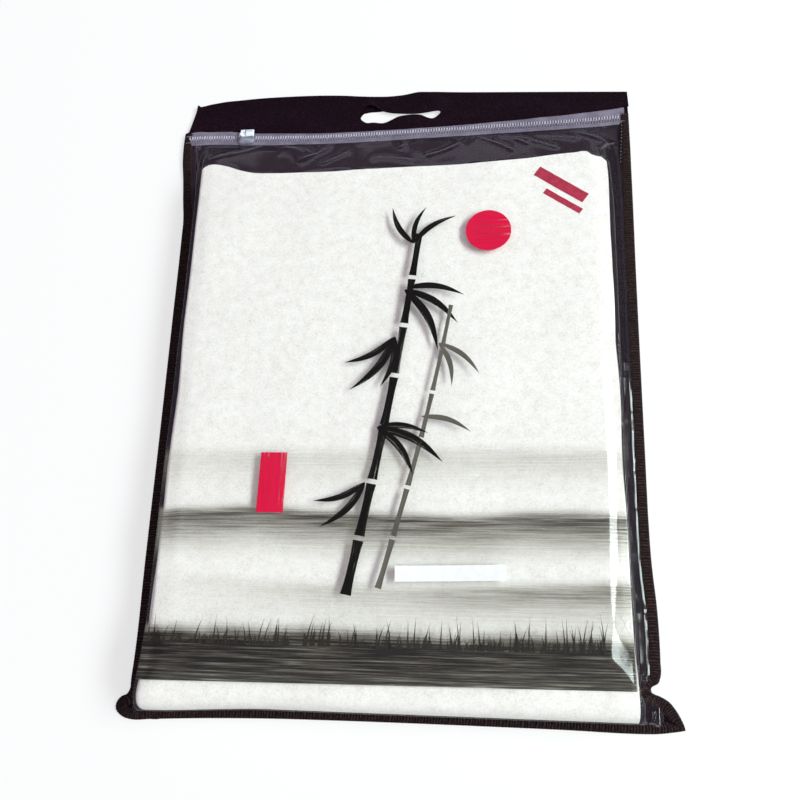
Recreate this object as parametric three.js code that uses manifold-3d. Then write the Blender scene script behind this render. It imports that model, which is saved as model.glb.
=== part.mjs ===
// A folded felt writing mat in a flat zip bag that lies on its back.
// Millimetres, +Z up, +Y towards the zip and the carrying slot, origin under the middle of the bag.
import * as THREE from "three";
import { mergeVertices } from "three/addons/utils/BufferGeometryUtils.js";
import Module from "manifold-3d";

// Felt mat: its flat size, and how it is folded
const MAT_LENGTH = 2000;
const MAT_WIDTH = 1000;
const FELT_THICKNESS = 3;
const ACCORDION_PANELS = 5;
const LAYER_GAP = 0.7; // air between two layers of felt
const FOLD_STEPS = 6; // facets round the outside of an accordion fold
const CREASE_STEPS = 3; // facets round its inside
const HALF_FOLD_STEPS = 10; // facets round the big fold at the bottom

// Bag outline
const FLAT_SIDE_MARGIN = 31; // pile to seam edge where the bag lies flat
const PULLED_SIDE_MARGIN = 18; // pile to seam edge where the pile draws the sides in
const BOTTOM_MARGIN = 10.5; // pile to the bottom seam edge
const EAR_HEIGHT = 34; // flat corner that stands out below the drawn-in sides
const SHOULDER_DEPTH = 330; // zip line down to where the sides are fully drawn in
const MOUTH_DEPTH = 60.5; // pile to the zip line

// Cloth, film and edging
const CLOTH_THICKNESS = 0.6;
const FILM_THICKNESS = 0.4;
const EDGING_THICKNESS = 0.5;
const SIDE_EDGING_WIDTH = 10;
const BOTTOM_EDGING_WIDTH = 8;
const SEAM_GAP = 0.3; // between two sewn layers
const SHEET_SETBACK = 3; // seam edge to the sheets' cut edges, inside the edging
const RIM_RAMP = 6; // width over which the back panel comes down from its raised rim
const RIM_CLEARANCE = 1; // edging to where the raised rim starts to come down
const FILM_EASE = 1; // film to the pile's edges, measured to the middle of the film
const FILM_FOOT = 7; // pile to the foot of the film's side wall
const FILM_CROWN = 3.5; // slack film stands up from the pile by this
const CROWN_SLOPE = 30; // pile's edges to where the film is at its full height
const MOUTH_RAMP = 40; // length over which the seam thickens to take in the zip

// Zip
const ZIP_LEVEL = 4; // middle of the tapes above the floor
const TAPE_WIDTH = 7.2;
const TAPE_THICKNESS = 0.4;
const TOOTH_PITCH = 5.4; // in one row; the other row's teeth stand half a pitch along
const TOOTH_WIDTH = 2.2;
const TOOTH_REACH = 1.6;
const TOOTH_THICKNESS = 1.6;
const RAIL_WIDTH = 1.2;
const RUNNING_GAP = 0.3; // between moving pieces

// Slider and pull tab
const SLIDER_LENGTH = 17;
const SLIDER_WIDTH = 12;
const SLIDER_FLOOR = 0.9;
const SLIDER_ROOF = 1.2;
const SLIDER_NOSE_RADIUS = 4;
const DIVIDER_THICKNESS = 0.8;
const DIVIDER_LENGTH = 5;
const SLIDER_PARK = 64.5; // middle of the slider to the left seam edge, at rest
const PIN_RADIUS = 0.9;
const PIN_SETBACK = 3.5; // nose of the slider to the pin
const LUG_OFFSET = 2.8; // zip line to the middle of the pin, towards the header
const LUG_WIDTH = 1;
const LUG_LENGTH = 2.4;
const EYE_BORE = 1.25;
const EYE_WALL = 0.85;
const EYE_WIDTH = 3.4;
const TAB_LENGTH = 14.5; // pin to the free end
const TAB_WIDTH = 10;
const GRIP_OFFSET = 2.4; // middle of the pin to the middle of the grip, towards the header
const TAB_THICKNESS = 1.3;
const TAB_NECK = 3.4; // pin to where the tab widens
const TAB_CORNER = 1.2;

// Header with the carrying slot
const HEADER_DEPTH = 39.6; // hinge line to the folded top edge
const HEADER_END_SLANT = 5; // each end leans in by this at the top
const HEADER_FOLD_RADIUS = 0.9; // middle of the cloth, round the fold
const HINGE_GAP = 0.6; // fixed cloth to the header's foot
const SLOT_WIDTH = 86;
const SLOT_HEIGHT = 20;
const SLOT_RISE = 12.2; // hinge line to the middle of the slot

// Sticker on the film
const LABEL_WIDTH = 89;
const LABEL_HEIGHT = 12.5;
const LABEL_THICKNESS = 0.2;
const LABEL_RIGHT = 56; // middle of the pile to the middle of the sticker
const LABEL_UP = 107; // bottom of the pile to the middle of the sticker

// Sizes that follow from those above
const pileHalf = MAT_LENGTH / ACCORDION_PANELS / 2;
const pileLength = MAT_WIDTH / 2;
const layerPitch = FELT_THICKNESS + LAYER_GAP;
const halfStack = ACCORDION_PANELS * layerPitch - LAYER_GAP / 2;
const rimLift = EDGING_THICKNESS + SEAM_GAP;
const filmRim = rimLift + CLOTH_THICKNESS + SEAM_GAP + FILM_THICKNESS / 2;
const edgingTop = filmRim + FILM_THICKNESS / 2 + SEAM_GAP + EDGING_THICKNESS;
const rimInset = EDGING_THICKNESS + SHEET_SETBACK;
const foldAxisZ = CLOTH_THICKNESS + SEAM_GAP + halfStack;
const filmTopZ = foldAxisZ + halfStack + FILM_EASE;
const tapeTop = ZIP_LEVEL + TAPE_THICKNESS / 2;
const tapeUnder = ZIP_LEVEL - TAPE_THICKNESS / 2;
const mouthEdgingTop = tapeTop + SEAM_GAP + EDGING_THICKNESS;
const mouthFilmRim = tapeUnder - SEAM_GAP - FILM_THICKNESS / 2;

const tipOffset = DIVIDER_THICKNESS / 2 + RUNNING_GAP; // zip line to a tooth's tip
const railInner = tipOffset + TOOTH_REACH;
const railOuter = railInner + RAIL_WIDTH;
const tapeInner = railOuter + SEAM_GAP;
const tapeOuter = tapeInner + TAPE_WIDTH;

const bottomEdge = -(pileLength / 2 + BOTTOM_MARGIN);
const pileBottom = bottomEdge + BOTTOM_MARGIN;
const pileTop = pileBottom + pileLength;
const foldAxisY = pileBottom + halfStack;
const zipLine = pileTop + MOUTH_DEPTH;
const hingeLine = zipLine + tapeOuter + HINGE_GAP / 2;
const headerTop = hingeLine + HEADER_DEPTH;
const flatHalf = pileHalf + FLAT_SIDE_MARGIN;
const pulledHalf = pileHalf + PULLED_SIDE_MARGIN;
const mouthStart = pileTop + FILM_EASE;
const chainHalf = flatHalf - SIDE_EDGING_WIDTH - SEAM_GAP;

const wasm = await Module();
wasm.setup();

const ease = (t) => THREE.MathUtils.smoothstep(t, 0, 1);
const lerp = THREE.MathUtils.lerp;
const spread = (from, to, steps) => Array.from({ length: steps + 1 }, (_, i) => lerp(from, to, i / steps));

// Half of the bag's width at a height on it: flat at the mouth and the ears, drawn in beside the pile.
function seamHalf(y) {
  const shoulder = ease((zipLine - y) / SHOULDER_DEPTH);
  const ear = ease((y - bottomEdge) / EAR_HEIGHT);
  return lerp(flatHalf, pulledHalf, Math.min(shoulder, ear));
}

// The seam grows thicker near the mouth, where the zip's ends are sewn in.
const mouthShare = (y) => ease((y - mouthStart) / MOUTH_RAMP);
const filmRimAt = (y) => lerp(filmRim, mouthFilmRim, mouthShare(y));
const edgingTopAt = (y) => lerp(edgingTop, mouthEdgingTop, mouthShare(y));

// A closed geometry from points and triangles, turned so that its faces point out.
function closedGeometry(points, triangles) {
  const corner = (k) => points[triangles[k]];
  const scratch = new THREE.Vector3();
  let volume = 0;
  for (let k = 0; k < triangles.length; k += 3) {
    volume += corner(k).dot(scratch.crossVectors(corner(k + 1), corner(k + 2)));
  }
  const outward = volume > 0 ? triangles : [...triangles].reverse();
  return new THREE.BufferGeometry().setFromPoints(points).setIndex(outward);
}

// A thin solid round a grid of points on the middle of a sheet.
function sheetGeometry(rows, thickness) {
  const across = rows[0].length;
  const down = rows.length;
  const at = (j, i) => rows[THREE.MathUtils.clamp(j, 0, down - 1)][THREE.MathUtils.clamp(i, 0, across - 1)];
  const faces = [[], []];
  for (let j = 0; j < down; j++) {
    for (let i = 0; i < across; i++) {
      const along = at(j, i + 1).clone().sub(at(j, i - 1));
      const up = at(j + 1, i).clone().sub(at(j - 1, i));
      const normal = along.cross(up).normalize().multiplyScalar(thickness / 2);
      faces[0].push(at(j, i).clone().add(normal));
      faces[1].push(at(j, i).clone().sub(normal));
    }
  }
  const count = across * down;
  const triangles = [];
  const quad = (a, b, c, d) => triangles.push(a, b, c, a, c, d);
  for (let j = 0; j < down - 1; j++) {
    for (let i = 0; i < across - 1; i++) {
      const a = j * across + i;
      quad(a, a + 1, a + across + 1, a + across);
      quad(count + a + across, count + a + across + 1, count + a + 1, count + a);
    }
  }
  const rim = [];
  for (let i = 0; i < across - 1; i++) rim.push(i);
  for (let j = 0; j < down - 1; j++) rim.push(j * across + across - 1);
  for (let i = across - 1; i > 0; i--) rim.push((down - 1) * across + i);
  for (let j = down - 1; j > 0; j--) rim.push(j * across);
  rim.forEach((a, k) => {
    const b = rim[(k + 1) % rim.length];
    quad(b, a, count + a, count + b);
  });
  return closedGeometry([...faces[0], ...faces[1]], triangles);
}

// A solid through sections that share one outline, given flat as 2-D points, with a place for each.
function sweptGeometry(outline, stations, place) {
  const sides = outline.length;
  const points = stations.flatMap((s) => outline.map((p) => place(p, s)));
  const triangles = [];
  for (let s = 0; s < stations.length - 1; s++) {
    for (let k = 0; k < sides; k++) {
      const a = s * sides + k;
      const b = s * sides + ((k + 1) % sides);
      triangles.push(a, b, b + sides, a, b + sides, a + sides);
    }
  }
  const last = (stations.length - 1) * sides;
  THREE.ShapeUtils.triangulateShape(outline, []).forEach(([a, b, c]) => {
    triangles.push(c, b, a, last + a, last + b, last + c);
  });
  return closedGeometry(points, triangles);
}

// Solids for joining and cutting
function solidOf(geometry) {
  const bare = geometry.clone();
  bare.deleteAttribute("normal");
  bare.deleteAttribute("uv");
  const merged = mergeVertices(bare, 1e-4);
  return new wasm.Manifold(
    new wasm.Mesh({
      numProp: 3,
      vertProperties: merged.attributes.position.array,
      triVerts: new Uint32Array(merged.index.array),
    }),
  );
}

function geometryOf(solid) {
  const mesh = solid.getMesh();
  return new THREE.BufferGeometry()
    .setAttribute("position", new THREE.BufferAttribute(mesh.vertProperties, 3))
    .setIndex(new THREE.BufferAttribute(mesh.triVerts, 1));
}

// A box between two corners
function boxGeometry(low, high) {
  const size = high.map((v, k) => v - low[k]);
  const middle = high.map((v, k) => (v + low[k]) / 2);
  return new THREE.BoxGeometry(...size).translate(...middle);
}

// A flat shape raised along Z from one height to another
function prismGeometry(shape, from, to, curveSegments = 8) {
  const options = { depth: to - from, bevelEnabled: false, curveSegments };
  return new THREE.ExtrudeGeometry(shape, options).translate(0, 0, from);
}

// A rectangle with round corners, about a middle
function roundedShape(x, y, width, height, radius) {
  const shape = new THREE.Shape();
  const left = x - width / 2;
  const low = y - height / 2;
  shape.absarc(left + width - radius, low + radius, radius, -Math.PI / 2, 0);
  shape.absarc(left + width - radius, low + height - radius, radius, 0, Math.PI / 2);
  shape.absarc(left + radius, low + height - radius, radius, Math.PI / 2, Math.PI);
  shape.absarc(left + radius, low + radius, radius, Math.PI, Math.PI * 1.5);
  shape.closePath();
  return shape;
}

// Felt: the accordion's section, swept round the fold that halves it.
function accordionOutline() {
  const inner = LAYER_GAP / 2;
  const outer = inner + FELT_THICKNESS;
  const edge = (first) => {
    const points = [];
    for (let k = 0; k < ACCORDION_PANELS - 1; k++) {
      const outside = (k % 2 === 0) === first;
      const radius = outside ? outer : inner;
      const side = k % 2 === 0 ? 1 : -1;
      const middleX = side * (pileHalf - outer);
      const middleN = inner + (k + 1) * layerPitch - LAYER_GAP / 2;
      spread(-Math.PI / 2, Math.PI / 2, outside ? FOLD_STEPS : CREASE_STEPS).forEach((a) => {
        points.push(new THREE.Vector2(middleX + side * radius * Math.cos(a), middleN + radius * Math.sin(a)));
      });
    }
    return points;
  };
  const lastSide = ACCORDION_PANELS % 2 === 0 ? -1 : 1;
  const lastN = inner + (ACCORDION_PANELS - 1) * layerPitch;
  const firstFace = lastSide === 1 ? lastN : lastN + FELT_THICKNESS;
  const otherFace = lastSide === 1 ? lastN + FELT_THICKNESS : lastN;
  return [
    new THREE.Vector2(-pileHalf, inner),
    ...edge(true),
    new THREE.Vector2(lastSide * pileHalf, firstFace),
    new THREE.Vector2(lastSide * pileHalf, otherFace),
    ...edge(false).reverse(),
    new THREE.Vector2(-pileHalf, inner + FELT_THICKNESS),
  ];
}

function feltMat() {
  const bend = spread(Math.PI / 2, Math.PI * 1.5, HALF_FOLD_STEPS);
  const run = pileTop - foldAxisY;
  const stations = [{ run, angle: bend[0] }, ...bend.map((angle) => ({ run: 0, angle })), { run, angle: bend.at(-1) }];
  return sweptGeometry(accordionOutline(), stations, (p, s) => {
    const y = foldAxisY + s.run + p.y * Math.cos(s.angle);
    return new THREE.Vector3(p.x, y, foldAxisZ + p.y * Math.sin(s.angle));
  });
}

// Back panel: flat on the floor, with a raised rim inside the edging.
function backPanel() {
  const rampFrom = (width) => width + RIM_CLEARANCE;
  const rimSteps = (width) => [rimInset, ...spread(rampFrom(width), rampFrom(width) + RIM_RAMP, 2)];
  const raised = (inset, width) => rimLift * (1 - ease((inset - rampFrom(width)) / RIM_RAMP));
  const sideSteps = rimSteps(SIDE_EDGING_WIDTH);
  const lowRows = rimSteps(BOTTOM_EDGING_WIDTH).map((d) => bottomEdge + d);
  const top = hingeLine - HINGE_GAP / 2;
  const earRows = spread(lowRows.at(-1), bottomEdge + EAR_HEIGHT, 3).slice(1);
  const sideRows = spread(bottomEdge + EAR_HEIGHT, top, 10).slice(1);
  const rows = [...lowRows, ...earRows, ...sideRows].map((y) => {
    const half = seamHalf(y);
    const left = sideSteps.map((d) => d - half);
    const right = sideSteps.map((d) => half - d).reverse();
    return [...left, 0, ...right].map((x) => {
      const sideLift = raised(half - Math.abs(x), SIDE_EDGING_WIDTH);
      const lift = Math.max(sideLift, raised(y - bottomEdge, BOTTOM_EDGING_WIDTH));
      return new THREE.Vector3(x, y, CLOTH_THICKNESS / 2 + lift);
    });
  });
  return sheetGeometry(rows, CLOTH_THICKNESS);
}

// Slack that lifts the film off the top of the pile, none at the pile's edges
function crownAt(x, y) {
  const inset = Math.min(pileHalf - Math.abs(x), y - foldAxisY, pileTop - y);
  return FILM_CROWN * ease(inset / CROWN_SLOPE);
}

// Film: up the pile's sides, round its edges and down a hollow slope to the zip.
function frontFilm() {
  const share = (z) => (z - filmRim) / (filmTopZ - filmRim);
  const cornerAngles = spread(0, Math.PI / 2, 3);
  const sideWall = cornerAngles.map((a) => ({
    x: pileHalf + FILM_EASE * Math.cos(a),
    rise: share(filmTopZ - FILM_EASE + FILM_EASE * Math.sin(a)),
  }));
  const wallFoot = pileHalf + FILM_FOOT;
  const wallMiddle = { x: lerp(wallFoot, pileHalf + FILM_EASE, 0.7), rise: 0.5 };
  const columnsAt = (half) => {
    const inner = Math.max(half - SIDE_EDGING_WIDTH - SEAM_GAP, wallFoot + SEAM_GAP);
    const right = [{ x: half - rimInset, rise: 0 }, { x: inner, rise: 0 }, { x: wallFoot, rise: 0 }, wallMiddle];
    const crown = spread(pileHalf, pileHalf - CROWN_SLOPE, 3).slice(1).map((x) => ({ x, rise: 1 }));
    const flank = [...right, ...sideWall, ...crown];
    return [...flank.map((c) => ({ x: -c.x, rise: c.rise })), { x: 0, rise: 1 }, ...flank.reverse()];
  };
  const reach = halfStack + FILM_EASE;
  const foldRows = spread(Math.PI, Math.PI / 2, HALF_FOLD_STEPS / 2).map((a) => ({
    y: foldAxisY + reach * Math.cos(a),
    rise: share(foldAxisZ + reach * Math.sin(a)),
  }));
  const lowFoot = bottomEdge + BOTTOM_EDGING_WIDTH + SEAM_GAP;
  const lowWall = { y: lerp(lowFoot, foldAxisY - reach, 0.5), rise: foldRows[0].rise / 2 };
  const topRows = cornerAngles.toReversed().map((a) => ({
    y: pileTop + FILM_EASE * Math.cos(a),
    rise: share(filmTopZ - FILM_EASE + FILM_EASE * Math.sin(a)),
  }));
  const slopeEnd = zipLine - tapeOuter;
  const slopeTop = topRows.at(-1);
  const slopeRows = spread(0, 1, 7).slice(1).map((t) => ({
    y: lerp(slopeTop.y, slopeEnd, t),
    rise: slopeTop.rise * (1 - t) ** 2,
  }));
  const crownRows = [
    ...spread(foldAxisY, foldAxisY + CROWN_SLOPE, 3).slice(1),
    ...spread(foldAxisY + CROWN_SLOPE, pileTop - CROWN_SLOPE, 4).slice(1),
    ...spread(pileTop - CROWN_SLOPE, pileTop, 3).slice(1, -1),
  ];
  const profile = [
    { y: bottomEdge + rimInset, rise: 0 },
    { y: lowFoot, rise: 0 },
    lowWall,
    ...foldRows,
    ...crownRows.map((y) => ({ y, rise: 1 })),
    ...topRows,
    ...slopeRows,
    { y: zipLine - tapeInner - TAPE_WIDTH / 2, rise: 0 },
  ];
  const rows = profile.map(({ y, rise }) => {
    const rim = filmRimAt(y);
    return columnsAt(seamHalf(y)).map((c) => {
      const draped = rim + (filmTopZ - rim) * rise * c.rise;
      return new THREE.Vector3(c.x, y, draped + crownAt(c.x, y));
    });
  });
  return sheetGeometry(rows, FILM_THICKNESS);
}

// Edging: a strip folded round the seam, as a C that opens inwards.
function edgingOutline(width) {
  const wall = EDGING_THICKNESS;
  const corners = [[0, 0, 0], [width, 0, 0], [width, wall, 0], [wall, wall, 0]];
  const upper = [[wall, -wall, 1], [width, -wall, 1], [width, 0, 1], [0, 0, 1]];
  return [...corners, ...upper].map(([inset, z, top]) => ({ inset, z, top }));
}

// The outline is flattened for its end caps; each corner then goes to its own height.
function edgingGeometry(width, stations, place, topAt) {
  const corners = edgingOutline(width);
  const flat = corners.map((c) => new THREE.Vector2(c.inset, c.z + c.top * edgingTop));
  const cornerOf = new Map(flat.map((p, k) => [p, corners[k]]));
  return sweptGeometry(flat, stations, (p, s) => {
    const c = cornerOf.get(p);
    return place(c.inset, c.z + c.top * topAt(s), s);
  });
}

function sideEdging(side) {
  const low = bottomEdge + BOTTOM_EDGING_WIDTH + SEAM_GAP;
  const ear = bottomEdge + EAR_HEIGHT;
  const top = hingeLine - HINGE_GAP / 2;
  const mouthEnd = mouthStart + MOUTH_RAMP;
  const stations = [
    ...spread(low, ear, 6),
    ...spread(ear, mouthStart, 10).slice(1),
    ...spread(mouthStart, mouthEnd, 4).slice(1),
    top,
  ];
  const place = (inset, z, y) => new THREE.Vector3(side * (seamHalf(y) - inset), y, z);
  return edgingGeometry(SIDE_EDGING_WIDTH, stations, place, edgingTopAt);
}

function bottomEdging() {
  const place = (inset, z, x) => new THREE.Vector3(x, bottomEdge + inset, z);
  return edgingGeometry(BOTTOM_EDGING_WIDTH, [-flatHalf, flatHalf], place, () => edgingTop);
}

// Header: one strip folded over at the top edge, cut through for the hand.
function handleHeader() {
  const foot = hingeLine + HINGE_GAP / 2;
  const backZ = CLOTH_THICKNESS / 2;
  const foldY = headerTop - HEADER_FOLD_RADIUS - CLOTH_THICKNESS / 2;
  const foldZ = backZ + HEADER_FOLD_RADIUS;
  const frontFootZ = tapeUnder - CLOTH_THICKNESS / 2;
  const foldArc = spread(-Math.PI / 2, Math.PI / 2, 6).map((a) => ({
    y: foldY + HEADER_FOLD_RADIUS * Math.cos(a),
    z: foldZ + HEADER_FOLD_RADIUS * Math.sin(a),
  }));
  const path = [{ y: foot, z: backZ }, ...foldArc, { y: foot, z: frontFootZ }];
  const rows = path.map(({ y, z }) => {
    const half = flatHalf - (HEADER_END_SLANT * (y - foot)) / (headerTop - foot);
    return [-half, 0, half].map((x) => new THREE.Vector3(x, y, z));
  });
  const slot = roundedShape(0, hingeLine + SLOT_RISE, SLOT_WIDTH, SLOT_HEIGHT, SLOT_HEIGHT / 2);
  const cutter = prismGeometry(slot, -CLOTH_THICKNESS, ZIP_LEVEL + CLOTH_THICKNESS);
  return geometryOf(solidOf(sheetGeometry(rows, CLOTH_THICKNESS)).subtract(solidOf(cutter)));
}

// Zip: a tape and a comb of teeth on each side of the zip line.
function zipTape(side) {
  const half = flatHalf - rimInset;
  const edges = [zipLine + side * tapeInner, zipLine + side * tapeOuter];
  return boxGeometry([-half, Math.min(...edges), tapeUnder], [half, Math.max(...edges), tapeTop]);
}

function zipTeeth(side) {
  const count = Math.floor((2 * chainHalf - TOOTH_PITCH) / TOOTH_PITCH);
  const shift = (side * TOOTH_PITCH) / 4;
  const comb = new THREE.Shape();
  comb.moveTo(-chainHalf, side * railOuter);
  comb.lineTo(-chainHalf, side * railInner);
  for (let k = 0; k < count; k++) {
    const x = (k - (count - 1) / 2) * TOOTH_PITCH + shift;
    comb.lineTo(x - TOOTH_WIDTH / 2, side * railInner);
    comb.lineTo(x - TOOTH_WIDTH / 3, side * tipOffset);
    comb.lineTo(x + TOOTH_WIDTH / 3, side * tipOffset);
    comb.lineTo(x + TOOTH_WIDTH / 2, side * railInner);
  }
  comb.lineTo(chainHalf, side * railInner);
  comb.lineTo(chainHalf, side * railOuter);
  comb.closePath();
  const low = ZIP_LEVEL - TOOTH_THICKNESS / 2;
  return prismGeometry(comb, low, low + TOOTH_THICKNESS).translate(0, zipLine, 0);
}

// Slider, about its own middle on the zip line, with its nose towards -X.
const roofUnder = ZIP_LEVEL + TOOTH_THICKNESS / 2 + RUNNING_GAP;
const roofTop = roofUnder + SLIDER_ROOF;
const floorTop = ZIP_LEVEL - TOOTH_THICKNESS / 2 - RUNNING_GAP;
const pinX = PIN_SETBACK - SLIDER_LENGTH / 2;
const eyeRadius = EYE_BORE + EYE_WALL;
const pinZ = roofTop + RUNNING_GAP + eyeRadius;

function sliderBody() {
  const half = SLIDER_LENGTH / 2;
  const wide = SLIDER_WIDTH / 2;
  const lip = railOuter + RUNNING_GAP;
  const blocks = [
    boxGeometry([-half, -wide, floorTop - SLIDER_FLOOR], [half, wide, floorTop]),
    boxGeometry([-half, -wide, roofUnder], [half, wide, roofTop]),
    boxGeometry(
      [-half, -DIVIDER_THICKNESS / 2, floorTop - SLIDER_FLOOR],
      [DIVIDER_LENGTH - half, DIVIDER_THICKNESS / 2, roofTop],
    ),
  ];
  for (const side of [-1, 1]) {
    const [low, high] = [side * lip, side * wide].sort((a, b) => a - b);
    blocks.push(
      boxGeometry([-half, low, floorTop - SLIDER_FLOOR], [half, high, tapeUnder - RUNNING_GAP]),
      boxGeometry([-half, low, tapeTop + RUNNING_GAP], [half, high, roofTop]),
    );
  }
  const plan = prismGeometry(
    roundedShape(0, 0, SLIDER_LENGTH, SLIDER_WIDTH, SLIDER_NOSE_RADIUS),
    floorTop - 2 * SLIDER_FLOOR,
    roofTop + SLIDER_ROOF,
  );
  let body = blocks.map(solidOf).reduce((a, b) => a.add(b)).intersect(solidOf(plan));
  const lugInner = EYE_WIDTH / 2 + RUNNING_GAP;
  for (const side of [-1, 1]) {
    const faces = [side * lugInner, side * (lugInner + LUG_WIDTH)].sort((a, b) => a - b);
    const [low, high] = faces.map((y) => y + LUG_OFFSET);
    const foot = [pinX - LUG_LENGTH / 2, low, roofTop - SLIDER_ROOF / 2];
    body = body.add(solidOf(boxGeometry(foot, [pinX + LUG_LENGTH / 2, high, pinZ])));
    const cap = new THREE.CylinderGeometry(LUG_LENGTH / 2, LUG_LENGTH / 2, LUG_WIDTH, 16);
    body = body.add(solidOf(cap.translate(pinX, (low + high) / 2, pinZ)));
  }
  const pinLength = 2 * lugInner + LUG_WIDTH;
  const pin = new THREE.CylinderGeometry(PIN_RADIUS, PIN_RADIUS, pinLength, 16);
  return geometryOf(body.add(solidOf(pin.translate(pinX, LUG_OFFSET, pinZ))));
}

// Pull tab: an eye round the pin, a neck between the lugs and a flat grip beyond them.
function pullTab() {
  const eye = new THREE.Shape().absarc(0, 0, eyeRadius, 0, Math.PI * 2);
  eye.holes.push(new THREE.Path().absarc(0, 0, EYE_BORE, 0, Math.PI * 2, true));
  const ring = prismGeometry(eye, -EYE_WIDTH / 2, EYE_WIDTH / 2, 20).rotateX(Math.PI / 2);
  const under = -eyeRadius;
  const gripLength = TAB_LENGTH - TAB_NECK;
  const grip = prismGeometry(
    roundedShape(TAB_NECK + gripLength / 2, GRIP_OFFSET, gripLength, TAB_WIDTH, TAB_CORNER),
    under,
    under + TAB_THICKNESS,
  );
  const neckTop = under + EYE_WALL;
  const neck = boxGeometry([0, -EYE_WIDTH / 2, under], [TAB_NECK + TAB_CORNER, EYE_WIDTH / 2, neckTop]);
  const whole = [ring, grip, neck].map(solidOf).reduce((a, b) => a.add(b));
  return geometryOf(whole).translate(pinX, LUG_OFFSET, pinZ);
}

// Sticker on top of the film
function sizeLabel() {
  const low = filmTopZ + FILM_CROWN + FILM_THICKNESS / 2 + SEAM_GAP;
  const shape = roundedShape(LABEL_RIGHT, pileBottom + LABEL_UP, LABEL_WIDTH, LABEL_HEIGHT, LABEL_THICKNESS);
  return prismGeometry(shape, low, low + LABEL_THICKNESS, 2);
}

// Finishes
const finish = (color, roughness, extra = {}) =>
  new THREE.MeshStandardMaterial({ color, roughness, metalness: 0, ...extra });
const felt = finish(0xf1ede6, 0.95);
const cloth = finish(0x1d171d, 0.9);
const film = finish(0xdfe3ea, 0.12, { transparent: true, opacity: 0.3 });
const tape = finish(0xa79fb4, 0.35, { transparent: true, opacity: 0.75 });
const teeth = finish(0xd9dbe6, 0.3);
const thread = finish(0x171114, 0.8);
const white = finish(0xf3f6fb, 0.4);
const paper = finish(0xfafafa, 0.5);

// Assembly
const bag = new THREE.Group();
bag.position.y = -(headerTop + bottomEdge) / 2;

function piece(name, geometry, material, parent = bag) {
  const mesh = new THREE.Mesh(geometry, material);
  mesh.name = name;
  parent.add(mesh);
  return mesh;
}

piece("felt_mat", feltMat(), felt);
piece("back_panel", backPanel(), cloth);
piece("front_film", frontFilm(), film);
piece("left_edging", sideEdging(-1), thread);
piece("right_edging", sideEdging(1), thread);
piece("bottom_edging", bottomEdging(), thread);
piece("handle_header", handleHeader(), cloth);
piece("zip_upper_tape", zipTape(1), tape);
piece("zip_lower_tape", zipTape(-1), tape);
piece("zip_upper_teeth", zipTeeth(1), teeth);
piece("zip_lower_teeth", zipTeeth(-1), teeth);
piece("size_label", sizeLabel(), paper);

const slider = new THREE.Group();
slider.position.set(SLIDER_PARK - flatHalf, zipLine, 0);
bag.add(slider);
piece("slider_body", sliderBody(), tape, slider);
piece("pull_tab", pullTab(), white, slider);

const part = new THREE.Group();
part.add(bag);

export default part;
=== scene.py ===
import math

import bmesh
import bpy
import numpy as np
from mathutils import Matrix, Vector


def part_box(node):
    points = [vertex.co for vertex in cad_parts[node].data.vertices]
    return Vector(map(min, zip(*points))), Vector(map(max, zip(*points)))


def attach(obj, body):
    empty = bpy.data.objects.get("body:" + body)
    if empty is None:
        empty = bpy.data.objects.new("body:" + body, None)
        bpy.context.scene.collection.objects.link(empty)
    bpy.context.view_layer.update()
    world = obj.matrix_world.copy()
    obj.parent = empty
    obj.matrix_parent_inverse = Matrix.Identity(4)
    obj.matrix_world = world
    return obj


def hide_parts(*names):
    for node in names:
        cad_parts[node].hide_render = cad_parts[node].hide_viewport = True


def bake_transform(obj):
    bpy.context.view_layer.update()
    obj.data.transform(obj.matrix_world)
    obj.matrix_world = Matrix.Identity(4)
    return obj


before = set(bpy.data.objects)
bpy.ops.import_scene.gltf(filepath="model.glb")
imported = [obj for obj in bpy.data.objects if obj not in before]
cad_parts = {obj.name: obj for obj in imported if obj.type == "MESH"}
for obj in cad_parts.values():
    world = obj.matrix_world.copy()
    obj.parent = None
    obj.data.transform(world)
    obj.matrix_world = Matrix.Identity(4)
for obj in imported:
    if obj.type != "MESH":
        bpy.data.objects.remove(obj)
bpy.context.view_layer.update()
mm = 0.001  # every size below is in millimetres, and meshes are made in metres
print("frame loaded:", len(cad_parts), "nodes")


def nodeBox(node):
    low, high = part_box(node)
    return np.array(low) / mm, np.array(high) / mm


def linearOf(hexColour):
    shares = [int(hexColour[k:k + 2], 16) / 255 for k in (1, 3, 5)]
    return tuple(s / 12.92 if s <= 0.04045 else ((s + 0.055) / 1.055) ** 2.4 for s in shares) + (1.0,)


def ease(t):
    t = np.clip(t, 0, 1)
    return t * t * (3 - 2 * t)


def mix(a, b, t):
    return a + (b - a) * t


def curveThrough(points):  # a smooth curve y(x) through a few points, level beyond its ends
    knots, values = np.array(points, float).T
    slopes = np.gradient(values, knots)

    def curve(x):
        x = np.clip(x, knots[0], knots[-1])
        k = np.clip(np.searchsorted(knots, x, side="right") - 1, 0, len(knots) - 2)
        span = knots[k + 1] - knots[k]
        t = (x - knots[k]) / span
        bend = t * (1 - t) * span * ((1 - t) * slopes[k] - t * slopes[k + 1])
        tilt = t * (1 - t) * (1 - 2 * t) * (values[k + 1] - values[k])
        return mix(values[k], values[k + 1], t) + bend - tilt

    return curve


def ripples(x, y, size, seed, count=7):  # crossed sine waves about size long, mostly within -1 to 1
    draw = np.random.default_rng(seed)
    total = 0
    for _ in range(count):
        angle, phase = draw.uniform(0, 2 * math.pi, 2)
        length = size * draw.uniform(0.7, 1.5)
        run = x * math.cos(angle) + y * math.sin(angle)
        total = total + np.sin(2 * math.pi * run / length + phase)
    return total / math.sqrt(count)


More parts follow.
